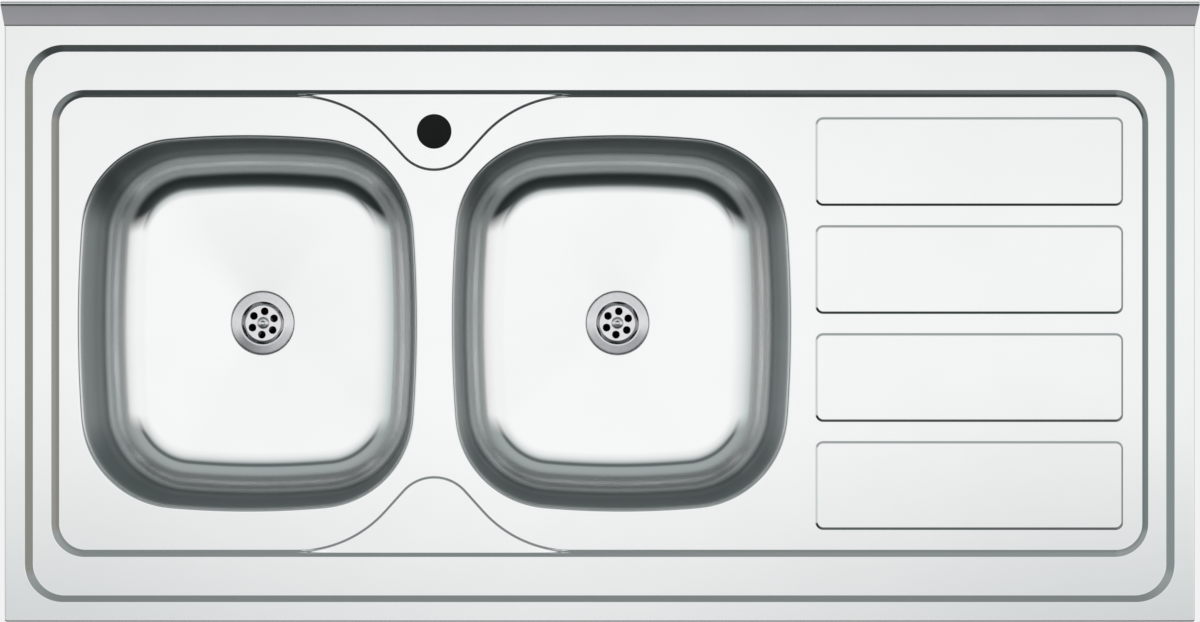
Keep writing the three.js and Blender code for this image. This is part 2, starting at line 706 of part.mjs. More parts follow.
/** The seat's radius in the middle of its widest facet. */
function facetRadius() {
  const angles = floorOutline(1).map(([x, y]) => Math.atan2(y, x));
  const turns = angles.map((angle, i) => {
    const turn = angles[(i + 1) % angles.length] - angle;
    return turn < 0 ? turn + 2 * Math.PI : turn;
  });
  return SEAT_EDGE * Math.cos(Math.max(...turns) / 2);
}

const SEAT_FACET = facetRadius();
const CONE_FIT = FIT + (SEAT_EDGE - SEAT_FACET) * SEAT_SLOPE; // between two cones with different facets
const BODY_BORE = STRAINER_RECESS / 2 + STRAINER_SHEET + 2 * SCREW_CLEARANCE;
const FLANGE_RISE = CONE_FIT + FLANGE_SEAL + FIT; // from the seat to the underside of the strainer's flange
const RIM_Z = seatFall(STRAINER_FLANGE / 2) + FLANGE_RISE + STRAINER_SHEET; // top of the strainer's rim
const PLATE_Z = RIM_Z - STRAINER_DEPTH; // top of the perforated plate
const WASHER_Z = seatFall(BODY_BORE) - BOWL_SHEET - CONE_FIT - BODY_WASHER; // foot of the body washer
const BODY_Z = WASHER_Z - FIT;
const HUB_Z = BODY_Z - BODY_CUP; // foot of the hub
const INSERT_Z = HUB_Z + HUB_FLOOR + FIT;

/** A conical rubber ring between the strainer's flange and the bowl. */
function makeFlangeSeal() {
  const inner = WASTE_HOLE / 2 + FIT;
  const outer = Math.min(STRAINER_FLANGE / 2 - STRAINER_SHEET, SEAT_FACET - FIT);
  const [low, high] = [CONE_FIT, CONE_FIT + FLANGE_SEAL];
  const corner = (radius, height) => [radius, seatFall(radius) + height];
  return turned([
    corner(inner, low), corner(outer, low), corner(outer, high), corner(inner, high), corner(inner, low),
  ]);
}

/** The pressed strainer: a shallow conical flange, a steep wall and a flat plate with its holes. */
function makeStrainer() {
  const sheet = new Sheet();
  const round = (radius, height, backRadius = radius, backHeight = height - STRAINER_SHEET) => sheet.row(
    raise(circle(0, 0, radius, ROUND_CHORDS), height),
    raise(circle(0, 0, backRadius, ROUND_CHORDS), backHeight),
  );
  const cone = (radius) => seatFall(radius) + FLANGE_RISE + STRAINER_SHEET;
  const rim = STRAINER_FLANGE / 2;
  const recess = STRAINER_RECESS / 2;
  const bend = recess + STRAINER_SHEET;
  const rows = [
    round(rim, cone(rim) - STRAINER_SHEET / 2, rim, cone(rim) - STRAINER_SHEET),
    round(rim - STRAINER_SHEET / 2, cone(rim - STRAINER_SHEET / 2)),
    round(bend, cone(bend)),
    round(recess, cone(recess) - STRAINER_SHEET / 2, bend, cone(bend) - 2 * STRAINER_SHEET),
    round(STRAINER_PLATE / 2, PLATE_Z),
  ];
  sheet.strips(rows);
  const hole = (x, y, radius) =>
    sheet.flatRow(raise(circle(x, y, radius, SMALL_CHORDS), PLATE_Z), STRAINER_SHEET);
  const holes = Array.from({ length: STRAINER_HOLES }, (_, i) => {
    const angle = degToRad(STRAINER_TURN + (360 * i) / STRAINER_HOLES);
    const reach = STRAINER_CIRCLE / 2;
    return hole(reach * Math.cos(angle), reach * Math.sin(angle), STRAINER_HOLE / 2);
  });
  sheet.fill(rows.at(-1), [hole(0, 0, SCREW_DIAMETER / 2 + SCREW_CLEARANCE), ...holes]);
  return sheet.geometry();
}

/** The rubber washer between the bowl and the waste body, its top conical and its foot flat. */
function makeBodyWasher() {
  const [inner, outer] = [BODY_BORE + FIT, BODY_FLANGE / 2 - STRAINER_SHEET];
  const top = (radius) => [radius, seatFall(radius) - BOWL_SHEET - CONE_FIT];
  return turned([[inner, WASHER_Z], [outer, WASHER_Z], top(outer), top(inner), [inner, WASHER_Z]]);
}

/** The moulded waste body: a cup under the bowl, a hub on spokes and the threaded outlet. */
function makeWasteBody() {
  const flange = BODY_FLANGE / 2;
  const wall = BODY_BORE + BODY_WALL;
  const outlet = OUTLET_DIAMETER / 2;
  const bore = outlet - OUTLET_WALL;
  const cupEnd = BODY_Z - BODY_CUP;
  const coneEnd = cupEnd - BODY_CONE;
  const outletEnd = coneEnd - OUTLET_LENGTH;
  const shell = turned([
    [BODY_BORE, BODY_Z], [flange, BODY_Z], [flange, BODY_Z - BODY_FLANGE_HEIGHT],
    [wall, BODY_Z - BODY_FLANGE_HEIGHT], [wall, cupEnd], [outlet, coneEnd], [outlet, outletEnd],
    [bore, outletEnd], [bore, coneEnd], [BODY_BORE, cupEnd], [BODY_BORE, BODY_Z],
  ]);
  const pocket = INSERT_DIAMETER / 2 + SCREW_CLEARANCE;
  const clear = SCREW_DIAMETER / 2 + 2 * SCREW_CLEARANCE;
  const hubTop = INSERT_Z + INSERT_HEIGHT;
  const hub = turned([
    [clear, HUB_Z], [pocket + HUB_WALL, HUB_Z], [pocket + HUB_WALL, hubTop], [pocket, hubTop],
    [pocket, HUB_Z + HUB_FLOOR], [clear, HUB_Z + HUB_FLOOR], [clear, HUB_Z],
  ], SMALL_CHORDS);
  const spokeStart = pocket + HUB_WALL / 2;
  const spokeEnd = BODY_BORE + BODY_WALL / 2;
  let body = toSolid(shell).add(toSolid(hub));
  for (let i = 0; i < SPOKES; i += 1) {
    const spoke = new THREE.BoxGeometry(spokeEnd - spokeStart, SPOKE_WIDTH, SPOKE_HEIGHT);
    spoke.translate((spokeStart + spokeEnd) / 2, 0, HUB_Z + SPOKE_HEIGHT / 2);
    body = body.add(toSolid(spoke.rotateZ((2 * Math.PI * i) / SPOKES)));
  }
  return fromSolid(body);
}

/** The domed socket screw that draws the strainer down to the body. */
function makeScrew() {
  const base = PLATE_Z + FIT;
  const head = SCREW_HEAD / 2;
  const shank = SCREW_DIAMETER / 2;
  const dome = arc(0, 0, 1, 90, 0, 3).map(([out, up]) => [
    head * out,
    base + SCREW_HEAD_RIM + (SCREW_HEAD_HEIGHT - SCREW_HEAD_RIM) * up,
  ]);
  const screw = turned([
    ...dome, [head, base], [shank, base], [shank, INSERT_Z - SCREW_BEYOND], [0, INSERT_Z - SCREW_BEYOND],
  ], SMALL_CHORDS);
  const socket = circle(0, 0, SCREW_SOCKET / Math.sqrt(3), 6);
  const foot = base + SCREW_HEAD_HEIGHT - SCREW_SOCKET_DEPTH;
  return fromSolid(toSolid(screw).subtract(toSolid(raised(socket, foot, 2 * SCREW_SOCKET_DEPTH))));
}

/** The brass insert in the hub that the screw bites in. */
function makeInsert() {
  const bore = SCREW_DIAMETER / 2 + SCREW_CLEARANCE;
  return ring(bore, INSERT_DIAMETER / 2, INSERT_Z, INSERT_HEIGHT, SMALL_CHORDS);
}

// ---- Hidden pieces -----------------------------------------------------------------------------------

/** The plate under the tap ledge, inside the bell's outline. */
function makeTapStiffener() {
  const round = BELL_RADIUS - BELL_RAMP / 2 - PLATE_MARGIN;
  const sweep = degToRad(BELL_SWEEP);
  const shoulder = [TAP_X + round * Math.sin(sweep), BELL_Y - round * Math.cos(sweep)];
  const rear = LEDGE_Y - PLATE_MARGIN;
  const wide = Math.min(PLATE_REACH, shoulder[0] - TAP_X + (rear - shoulder[1]) / Math.tan(sweep));
  const knee = shoulder[1] + (wide - (shoulder[0] - TAP_X)) * Math.tan(sweep);
  const outline = [
    ...arc(TAP_X, BELL_Y, round, -90 - BELL_SWEEP, BELL_SWEEP - 90, BELL_CHORDS),
    [TAP_X + wide, knee], [TAP_X + wide, rear], [TAP_X - wide, rear], [TAP_X - wide, knee],
  ];
  const hole = circle(TAP_X, TAP_Y, TAP_HOLE / 2 + PLATE_HOLE_PLAY, ROUND_CHORDS);
  const top = LEDGE_Z - TOP_SHEET - FIT;
  return raised(outline, top - PLATE_THICKNESS, PLATE_THICKNESS, [hole]);
}

/** A channel under the drainer, its web against the sheet in the gap between two panels. */
function makeChannel() {
  const half = CHANNEL_WIDTH / 2;
  const inner = half - CHANNEL_WALL;
  const left = RIGHT_BOWL_X + BOWL_WIDTH / 2 + PANEL_START + CHANNEL_INSET;
  const right = innerStep.foot.right - PANEL_END_MARGIN - CHANNEL_INSET;
  const section = [
    [-half, 0], [half, 0], [half, -CHANNEL_HEIGHT], [inner, -CHANNEL_HEIGHT],
    [inner, -CHANNEL_WALL], [-inner, -CHANNEL_WALL], [-inner, -CHANNEL_HEIGHT], [-half, -CHANNEL_HEIGHT],
  ];
  const channel = raised(section, 0, right - left);
  channel.rotateX(Math.PI / 2).rotateZ(Math.PI / 2);
  channel.rotateY(-Math.atan(DRAINER_SLOPE));
  return channel.translate(left, 0, deckLevel(left) - TOP_SHEET - CHANNEL_GAP);
}

/** The places of the channels: every other gap between the panels, from the outer ones inwards. */
function channelPlaces() {
  const span = innerStep.foot.back - PANEL_MARGIN;
  const depth = (2 * span - (PANEL_COUNT - 1) * PANEL_GAP) / PANEL_COUNT;
  const gap = span - depth - PANEL_GAP / 2;
  return { front: -gap, rear: gap };
}

/** A bracket on the left return, hanging inside the cabinet wall, with a slanting slot for its screw. */
function makeBracket() {
  const inside = CABINET_WALL - TOP_SHEET - FIT; // from the skirt to the cabinet wall's inner face
  const lip = TOP_SHEET + FIT;
  const section = [
    [0, lip], [0, lip + BRACKET_SHEET], [inside + BRACKET_SHEET, lip + BRACKET_SHEET],
    [inside + BRACKET_SHEET, -BRACKET_DROP], [inside, -BRACKET_DROP], [inside, lip],
  ];
  const bracket = raised(section, -BRACKET_WIDTH / 2, BRACKET_WIDTH).rotateX(Math.PI / 2);
  const reach = (SLOT_LENGTH - SLOT_WIDTH) / 2;
  const outline = [
    ...arc(reach, 0, SLOT_WIDTH / 2, -90, 90, PANEL_CHORDS),
    ...arc(-reach, 0, SLOT_WIDTH / 2, 90, 270, PANEL_CHORDS),
  ];
  const slot = raised(outline, -CABINET_WALL, 4 * CABINET_WALL);
  slot.rotateZ(degToRad(SLOT_ANGLE)).rotateY(Math.PI / 2).translate(0, 0, -BRACKET_DROP / 2);
  const solid = toSolid(bracket).subtract(toSolid(slot));
  return fromSolid(solid).translate(-TOP_WIDTH / 2 + TOP_SHEET + FIT, 0, -SKIRT_HEIGHT);
}

// ---- Finishes ----------------------------------------------------------------------------------------
const finishes = {
  satin: new THREE.MeshStandardMaterial({ color: 0xdcdedd, roughness: 0.34, metalness: 1 }),
  polished: new THREE.MeshStandardMaterial({ color: 0xc9cbcc, roughness: 0.18, metalness: 1 }),
  galvanised: new THREE.MeshStandardMaterial({ color: 0xa9adae, roughness: 0.5, metalness: 1 }),
  brass: new THREE.MeshStandardMaterial({ color: 0xc8a457, roughness: 0.35, metalness: 1 }),
  rubber: new THREE.MeshStandardMaterial({ color: 0x2a2a2b, roughness: 0.85, metalness: 0 }),
  bitumen: new THREE.MeshStandardMaterial({ color: 0x3b3c3e, roughness: 0.95, metalness: 0 }),
  plastic: new THREE.MeshStandardMaterial({ color: 0xe4e4e0, roughness: 0.45, metalness: 0 }),
};

// ---- Assembly ----------------------------------------------------------------------------------------
const sink = new THREE.Group();
sink.position.set(0, (TOP_DEPTH - RETURN_WIDTH) / 2, SKIRT_HEIGHT);

/** Adds one named piece to a group. */
function place(group, name, geometry, finish) {
  const mesh = new THREE.Mesh(closed(geometry), finish);
  mesh.name = name;
  group.add(mesh);
  return mesh;
}

place(sink, 'sink_top', makeTop(), finishes.satin);
place(sink, 'tap_hole_stiffener', makeTapStiffener(), finishes.galvanised);

for (const [side, x] of [['left', LEFT_BOWL_X], ['right', RIGHT_BOWL_X]]) {
  const bowl = new THREE.Group();
  bowl.position.set(x, 0, DECK_Z);
  place(bowl, `${side}_bowl`, makeBowl(), finishes.satin);
  place(bowl, `${side}_bowl_damping_pad`, makePad(), finishes.bitumen);
  const waste = new THREE.Group();
  waste.position.z = SEAT_LEVEL;
  place(waste, `${side}_flange_seal`, makeFlangeSeal(), finishes.rubber);
  place(waste, `${side}_strainer`, makeStrainer(), finishes.polished);
  place(waste, `${side}_strainer_screw`, makeScrew(), finishes.polished);
  place(waste, `${side}_body_washer`, makeBodyWasher(), finishes.rubber);
  place(waste, `${side}_waste_body`, makeWasteBody(), finishes.plastic);
  place(waste, `${side}_screw_insert`, makeInsert(), finishes.brass);
  bowl.add(waste);
  sink.add(bowl);
}

for (const [end, y] of Object.entries(channelPlaces())) {
  place(sink, `drainer_stiffener_${end}`, makeChannel(), finishes.galvanised).position.y = y;
}

const BRACKET_Y = TOP_DEPTH / 2 - BRACKET_SETBACK;
for (const [end, y] of [['front', -BRACKET_Y], ['rear', BRACKET_Y]]) {
  place(sink, `${end}_left_bracket`, makeBracket(), finishes.galvanised).position.y = y;
  const right = place(sink, `${end}_right_bracket`, makeBracket(), finishes.galvanised);
  right.position.y = y;
  right.rotation.z = Math.PI;
}

export default sink;
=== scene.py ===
"""A lay-on double bowl kitchen sink in stainless steel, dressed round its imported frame.

Each piece is drawn in millimetres from the middle of the pressed top, with Z = 0 on the top's outer
border, as a pressing is dimensioned. Its mesh is then brought to the frame's place and to metres.
"""

import logging
import math
from collections.abc import Iterable, Sequence
from dataclasses import dataclass, field
from enum import Enum

import bmesh
import bpy
from bmesh.types import BMEdge, BMesh, BMVert
from mathutils import Matrix, Vector


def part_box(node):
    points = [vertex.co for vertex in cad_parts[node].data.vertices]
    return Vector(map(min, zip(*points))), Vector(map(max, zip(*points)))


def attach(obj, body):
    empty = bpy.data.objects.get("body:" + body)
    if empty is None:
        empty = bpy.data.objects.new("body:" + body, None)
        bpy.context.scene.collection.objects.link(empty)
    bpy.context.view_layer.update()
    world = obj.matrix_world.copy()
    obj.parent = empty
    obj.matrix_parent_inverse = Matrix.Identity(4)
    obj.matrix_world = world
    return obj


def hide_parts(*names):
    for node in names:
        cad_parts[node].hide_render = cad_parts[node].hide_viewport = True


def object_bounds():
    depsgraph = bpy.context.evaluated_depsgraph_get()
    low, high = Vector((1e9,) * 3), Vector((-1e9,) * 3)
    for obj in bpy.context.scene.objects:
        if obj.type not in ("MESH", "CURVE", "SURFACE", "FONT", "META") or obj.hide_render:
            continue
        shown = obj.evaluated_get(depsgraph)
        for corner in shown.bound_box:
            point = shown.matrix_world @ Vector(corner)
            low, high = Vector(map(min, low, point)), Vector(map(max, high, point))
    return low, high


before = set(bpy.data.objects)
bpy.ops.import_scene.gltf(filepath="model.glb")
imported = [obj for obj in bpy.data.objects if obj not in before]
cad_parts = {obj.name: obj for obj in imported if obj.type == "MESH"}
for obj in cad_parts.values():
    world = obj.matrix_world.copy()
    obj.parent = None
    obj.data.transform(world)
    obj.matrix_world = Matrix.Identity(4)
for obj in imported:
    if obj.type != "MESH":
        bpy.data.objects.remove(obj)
CAD_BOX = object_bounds()

log = logging.getLogger("sink")

BODY = "root"
MILLIMETRE = 0.001
SHARP_ANGLE = math.radians(38)

Path = list[Vector]
Row = list[BMVert]
Profile = Sequence[tuple[float, float]]
Curve = tuple[tuple[float, float], ...]
Tree = bpy.types.NodeTree
Node = bpy.types.Node
Socket = bpy.types.NodeSocket


# ---- Outlines and profiles ---------------------------------------------------------------------------


@dataclass(frozen=True)
class Box:
    """The four sides of a rectangle in plan."""

    left: float
    right: float
    front: float
    rear: float

    def inside(self, left: float, right: float, end: float) -> "Box":
        """The box made smaller on the left, on the right, and alike at front and rear."""
        return Box(self.left + left, self.right - right, self.front + end, self.rear - end)


def arc(x: float, y: float, radius: float, start: float, end: float, chords: int) -> Path:
    """Draws an arc in plan.

    Args:
        x: The centre across.
        y: The centre towards the rear.
        radius: The radius.
        start: The first point's angle in degrees, anticlockwise from +X.
        end: The last point's angle in degrees.
        chords: How many straight pieces the arc has.

    Returns:
        The points, both ends included.
    """
    angles = [math.radians(start + (end - start) * i / chords) for i in range(chords + 1)]
    return [Vector((x + radius * math.cos(a), y + radius * math.sin(a), 0)) for a in angles]


def circle(x: float, y: float, radius: float, chords: int) -> Path:
    """A closed circle in plan."""
    return arc(x, y, radius, 0, 360, chords)[:-1]


def ring(radius: float, level: float, chords: int) -> Path:
    """A level circle round the Z axis."""
    return at_height(circle(0, 0, radius, chords), level)


def corner_arcs(box: Box, radius: float, chords: int) -> list[Path]:
    """Draws the corners of a rounded box.

    Args:
        box: The box.
        radius: The corners' radius.
        chords: How many straight pieces each corner has.

    Returns:
        The four arcs, anticlockwise from the right rear one.
    """
    left, right = box.left + radius, box.right - radius
    front, rear = box.front + radius, box.rear - radius
    centres = [(right, rear), (left, rear), (left, front), (right, front)]
    return [arc(x, y, radius, 90 * i, 90 * i + 90, chords) for i, (x, y) in enumerate(centres)]


def rounded(box: Box, radius: float, chords: int) -> Path:
    """The closed outline of a rounded box."""
    return [point for corner in corner_arcs(box, radius, chords) for point in corner]


def between(start: Path, end: Path, share: float) -> Path:
    """Points part of the way from one outline to another of as many points, or a little beyond."""
    return [a.lerp(b, share) for a, b in zip(start, end)]


def at_height(outline: Iterable[Vector], height: float) -> Path:
    """An outline brought to one height."""
    return [Vector((p.x, p.y, height)) for p in outline]


def shifted(outline: Iterable[Vector], x: float = 0, y: float = 0, z: float = 0) -> Path:
    """An outline moved by the given amounts."""
    return [point + Vector((x, y, z)) for point in outline]


def press_profile(width: float, drop: float, radius: float, chords: int) -> Profile:
    """Works out a pressed step: two bends of one radius and the straight that touches both.

    Args:
        width: The step's width in plan.
        drop: How far it falls.
        radius: The bends' radius.
        chords: How many straight pieces each bend has.

    Returns:
        For each point the share of the width and the share of the drop.
    """
    rest = drop - 2 * radius
    angle = math.atan2(rest, width) + math.asin(2 * radius / math.hypot(width, rest))
    bend = [angle * i / chords for i in range(chords + 1)]
    top = [(radius * math.sin(a) / width, radius * (1 - math.cos(a)) / drop) for a in bend]
    return top + [(1 - plan, 1 - share) for plan, share in reversed(top)]


def held(profile: Profile, guard: float) -> Profile:
    """Adds the points that keep a step's straight and the flats beside it from shading round.

    Args:
        profile: The step's profile.
        guard: The width of a flat strip at both ends, as a share of the step's width.

    Returns:
        The profile with two more points on its straight and one on each flat.
    """
    half = len(profile) // 2
    start, end = Vector(profile[half - 1]), Vector(profile[half])
    straight = [tuple(start.lerp(end, share)) for share in (0.1, 0.9)]
    return [(-guard, 0), *profile[:half], *straight, *profile[half:], (1 + guard, 1)]


def smooth(share: float) -> float:
    """Eases a share from 0 to 1 with level ends."""
    share = min(1.0, max(0.0, share))
    return share * share * (3 - 2 * share)


# ---- Meshes ------------------------------------------------------------------------------------------


class Sheet:
    """A piece of sheet, drawn by its good face as rows of vertices pulled out of each other."""

    def __init__(self) -> None:
        """Starts with an empty mesh."""
        self.mesh: BMesh = bmesh.new()

    def edges(self, row: Row, closed: bool = True) -> list[BMEdge]:
        """Finds or makes the edges that join a row's vertices in order."""
        ends = row[1:] + row[:1] if closed else row[1:]
        return [self.mesh.edges.get(pair) or self.mesh.edges.new(pair) for pair in zip(row, ends)]

    def lay(self, points: Iterable[Vector], closed: bool = True) -> Row:
        """Lays a first row of vertices.

        Args:
            points: Where they lie.
            closed: Whether the row runs round to its start.

        Returns:
            The vertices in order.
        """
        row = [self.mesh.verts.new(point) for point in points]
        self.edges(row, closed)
        return row

    def pull(self, row: Row, points: Iterable[Vector], closed: bool = True) -> Row:
        """Extrudes a row to new places.

        Args:
            row: The vertices to extrude from.
            points: The place of each new vertex.
            closed: Whether the row runs round to its start.

        Returns:
            The new vertices in the same order.
        """
        made = bmesh.ops.extrude_edge_only(self.mesh, edges=self.edges(row, closed))["geom"]
        fresh = {item for item in made if isinstance(item, BMVert)}
        pulled = [
            next(far for edge in vert.link_edges if (far := edge.other_vert(vert)) in fresh)
            for vert in row
        ]
        for vert, point in zip(pulled, points):
            vert.co = point
        return pulled

    def pull_all(self, row: Row, outlines: Iterable[Path], closed: bool = True) -> Row:
        """Extrudes a row through several outlines.

        Args:
            row: The vertices to extrude from.
            outlines: The places of each further row.
            closed: Whether the rows run round to their start.

        Returns:
            The last row.
        """
        for outline in outlines:
            row = self.pull(row, outline, closed)
        return row

    def draw(self, outlines: Iterable[Path]) -> tuple[Row, Row]:
        """Draws closed outlines and joins them in order.

        Args:
            outlines: The places of each row.

        Returns:
            The first row and the last.
        """
        start, *others = outlines
        first = self.lay(start)
        return first, self.pull_all(first, others)

    def draw_round(self, outlines: Iterable[Path]) -> "Sheet":
        """Draws closed outlines and joins them in order, and the last to the first.

        Args:
            outlines: The places of each row.

        Returns:
            The sheet, a closed skin.
        """
        first, last = self.draw(outlines)
        bmesh.ops.bridge_loops(self.mesh, edges=self.edges(first) + self.edges(last))
        return self.close()

    def fill(self, *loops: Row, normal: Vector = Vector((0, 0, 1))) -> None:
        """Fills the flat area inside the first loop and round the others."""
        edges = [edge for loop in loops for edge in self.edges(loop)]
        bmesh.ops.triangle_fill(
            self.mesh, use_beauty=True, use_dissolve=False, edges=edges, normal=normal
        )

    def thicken(self, thickness: float) -> "Sheet":
        """Turns the drawn face up, and gives the sheet its other face and its edges.

        Args:
            thickness: The sheet's thickness.

        Returns:
            The sheet itself.
        """
        faces = self.mesh.faces[:]
        bmesh.ops.recalc_face_normals(self.mesh, faces=faces)
        if sum(face.normal.z * face.calc_area() for face in faces) <= 0:
            bmesh.ops.reverse_faces(self.mesh, faces=faces)
        bmesh.ops.solidify(self.mesh, geom=faces, thickness=thickness)
        return self

    def close(self) -> "Sheet":
        """Turns a closed skin's faces outwards."""
        bmesh.ops.recalc_face_normals(self.mesh, faces=self.mesh.faces[:])
        return self

    def bevel(self, edges: Iterable[BMEdge], offset: float, segments: int) -> None:
        """Rounds some of the mesh's edges, cut back by the offset in as many segments as told."""
        bmesh.ops.bevel(
            self.mesh, geom=list(edges), offset=offset, offset_type="OFFSET", affect="EDGES",
            segments=segments, profile=0.5, material=-1,
        )

    def absorb(self, extra: "Sheet", move: Matrix = Matrix.Identity(4)) -> None:
        """Adds another sheet's mesh.

        Args:
            extra: The other sheet, whose mesh is freed.
            move: How it is moved.
        """
        carrier = bpy.data.meshes.new("carrier")
        extra.mesh.to_mesh(carrier)
        extra.mesh.free()
        carrier.transform(move)
        self.mesh.from_mesh(carrier)
        bpy.data.meshes.remove(carrier)


def turned(profile: Profile, steps: int) -> Sheet:
    """Turns a closed profile about Z.

    Args:
        profile: The section's [radius, height] points in order.
        steps: How many steps the full turn has.

    Returns:
        The closed ring.
    """
    sheet = Sheet()
    row = sheet.lay([Vector((radius, 0, height)) for radius, height in profile])
    bmesh.ops.spin(
        sheet.mesh, geom=row + sheet.edges(row), cent=(0, 0, 0), axis=(0, 0, 1), angle=math.tau,
        steps=steps, use_merge=True,
    )
    return sheet.close()


def eased(profile: Profile, size: float, most: float = 0.4) -> Profile:
    """Takes the sharp corners off a closed profile.

    Args:
        profile: The section's points in order.
        size: How far each corner is cut back along both of its sides.
        most: The largest share of a side that a cut takes.

    Returns:
        The profile with two points in place of each corner.
    """
    points = [Vector(point) for point in profile]
    made = []
    for before, corner, after in zip(points[-1:] + points[:-1], points, points[1:] + points[:1]):
        for way in (before - corner, after - corner):
            made.append(tuple(corner + way.normalized() * min(size, way.length * most)))
    return made


def stand(name: str, mesh: BMesh, material: bpy.types.Material) -> bpy.types.Object:
    """Stands an object in the scene.

    Args:
        name: Its name, and its data's.
        mesh: Its mesh, freed here.
        material: Its material.

    Returns:
        The object.
    """
    data = bpy.data.meshes.new(name)
    mesh.to_mesh(data)
    mesh.free()
    data.materials.append(material)
    made = bpy.data.objects.new(name, data)
    bpy.context.scene.collection.objects.link(made)
    return made


# ---- Materials ---------------------------------------------------------------------------------------


def linear(code: str) -> tuple[float, float, float, float]:
    """Turns an sRGB hex value to a linear colour.

    Args:
        code: The value, such as #808080.

    Returns:
        Red, green and blue from 0 to 1, and full alpha.
    """
    shares = [int(code[i : i + 2], 16) / 255 for i in (1, 3, 5)]
    steps = [s / 12.92 if s <= 0.04045 else ((s + 0.055) / 1.055) ** 2.4 for s in shares]
    return (*steps, 1.0)


def per(length: float) -> float:
    """The scale of a pattern whose features have a length in millimetres."""
    return 1 / (length * MILLIMETRE)


def emptied(owner: bpy.types.Material | bpy.types.World) -> Tree:
    """Switches on the nodes of a material or world and takes them all out.

    Args:
        owner: The material or world.

    Returns:
        Its node tree.
    """
    owner.use_nodes = True
    owner.node_tree.nodes.clear()
    return owner.node_tree


def add(tree: Tree, kind: str, sockets: dict | None = None, **settings: object) -> Node:
    """Adds one node.

    Args:
        tree: The node tree.
        kind: The node's type without its leading ShaderNode.
        sockets: Input names or numbers, each with a value or with the output socket to link.
        settings: The node's own properties.

    Returns:
        The node.
    """
    node = tree.nodes.new("ShaderNode" + kind)
    for name, value in settings.items():
        setattr(node, name, value)
    for key, value in (sockets or {}).items():
        if isinstance(value, Socket):
            tree.links.new(value, node.inputs[key])
        else:
            node.inputs[key].default_value = value
    return node


def set_ramp(node: Node, stops: Sequence[tuple[float, str]]) -> Socket:
    """Sets a colour ramp.

    Args:
        node: The ramp's node.
        stops: A place from 0 to 1 and an sRGB hex value for each stop.

    Returns:
        The colour's output.
    """
    ramp = node.color_ramp
    while len(ramp.elements) < len(stops):
        ramp.elements.new(0.5)
    for element, (place, code) in zip(ramp.elements, stops):
        element.position = place
        element.color = linear(code)
    return node.outputs["Color"]


class Slot(Enum):
    """The record's material slots."""

    SATIN = "satin_stainless"
    POLISHED = "polished_stainless"
    GALVANISED = "galvanised_steel"
    BITUMEN = "damping_bitumen"
    RUBBER = "seal_rubber"
    PLASTIC = "waste_plastic"
    BRASS = "insert_brass"


@dataclass(frozen=True)
class Finish:
    """What one surface is made of and how its surface was made."""

    name: str
    slot: Slot
    colour: str
    worn: str
    roughness: tuple[float, float]
    metallic: float = 0.0
    ior: float | None = None

    def build(self) -> bpy.types.Material:
        """Makes the material: the shader, its patterns on object coordinates and the output.

        Returns:
            The material.
        """
        material = bpy.data.materials.new(self.name)
        tree = emptied(material)
        place = add(tree, "TexCoord").outputs["Object"]
        shader = add(tree, "BsdfPrincipled", {"Metallic": self.metallic})
        if self.ior is not None:
            shader.inputs["IOR"].default_value = self.ior
        self.pattern(tree, place, shader)
        add(tree, "OutputMaterial", {"Surface": shader.outputs["BSDF"]})
        return material

    def pattern(self, tree: Tree, place: Socket, shader: Node) -> None:
        """Links the surface's colour, roughness and bump, as each finish says.

        Args:
            tree: The node tree.
            place: The object coordinates.
            shader: The principled shader.
        """
        raise NotImplementedError

    def spread(self, tree: Tree, shader: Node, share: Socket, tint: Socket | None = None) -> None:
        """Links a share from 0 to 1 to the roughness, and it or another share to the colour.

        Args:
            tree: The node tree.
            shader: The principled shader.
            share: The share that sets the roughness between its two values.
            tint: The share that sets the colour between its two values.
        """
        low, high = self.roughness
        rough = add(tree, "MapRange", {"Value": share, "To Min": low, "To Max": high})
        stops = [(0.0, self.colour), (1.0, self.worn)]
        shade = set_ramp(add(tree, "ValToRGB", {"Fac": tint or share}), stops)
        tree.links.new(rough.outputs["Result"], shader.inputs["Roughness"])
        tree.links.new(shade, shader.inputs["Base Color"])

    def bump(self, tree: Tree, shader: Node, height: Socket, depth: float) -> None:
        """Links a bump whose full height is a depth in millimetres."""
        node = add(tree, "Bump", {"Height": height, "Distance": depth * MILLIMETRE})
        tree.links.new(node.outputs["Normal"], shader.inputs["Normal"])


@dataclass(frozen=True)
class PressedStainless(Finish):
    """304 stainless sheet with a satin mill face: long rolling lines and a faint cloudiness."""

    line_spacing: float = 0.9  # mm, coarser than the real 0.05 mm so that it shows
    line_length: float = 60.0  # mm
    line_depth: float = 0.0004  # mm
    line_share: float = 0.35  # of the pattern in the colour and gloss, the rest being the clouds'
    cloud: float = 70.0  # mm

    def pattern(self, tree: Tree, place: Socket, shader: Node) -> None:
        """Rolling lines along X and cloudy patches where the tool pressed harder."""
        across, along = per(self.line_spacing), per(self.line_length)
        drawn = add(tree, "Mapping", {"Vector": place, "Scale": (along, across, across)}).outputs[0]
        lines = add(tree, "TexNoise", {"Vector": drawn, "Scale": 1.0, "Detail": 3.0}).outputs["Fac"]
        clouds = add(tree, "TexNoise", {"Vector": place, "Scale": per(self.cloud), "Detail": 2.0})
        sockets = {"Factor": self.line_share, "A": clouds.outputs["Fac"], "B": lines}
        share = add(tree, "Mix", sockets, data_type="FLOAT")
        self.spread(tree, shader, share.outputs["Result"])
        self.bump(tree, shader, lines, self.line_depth)


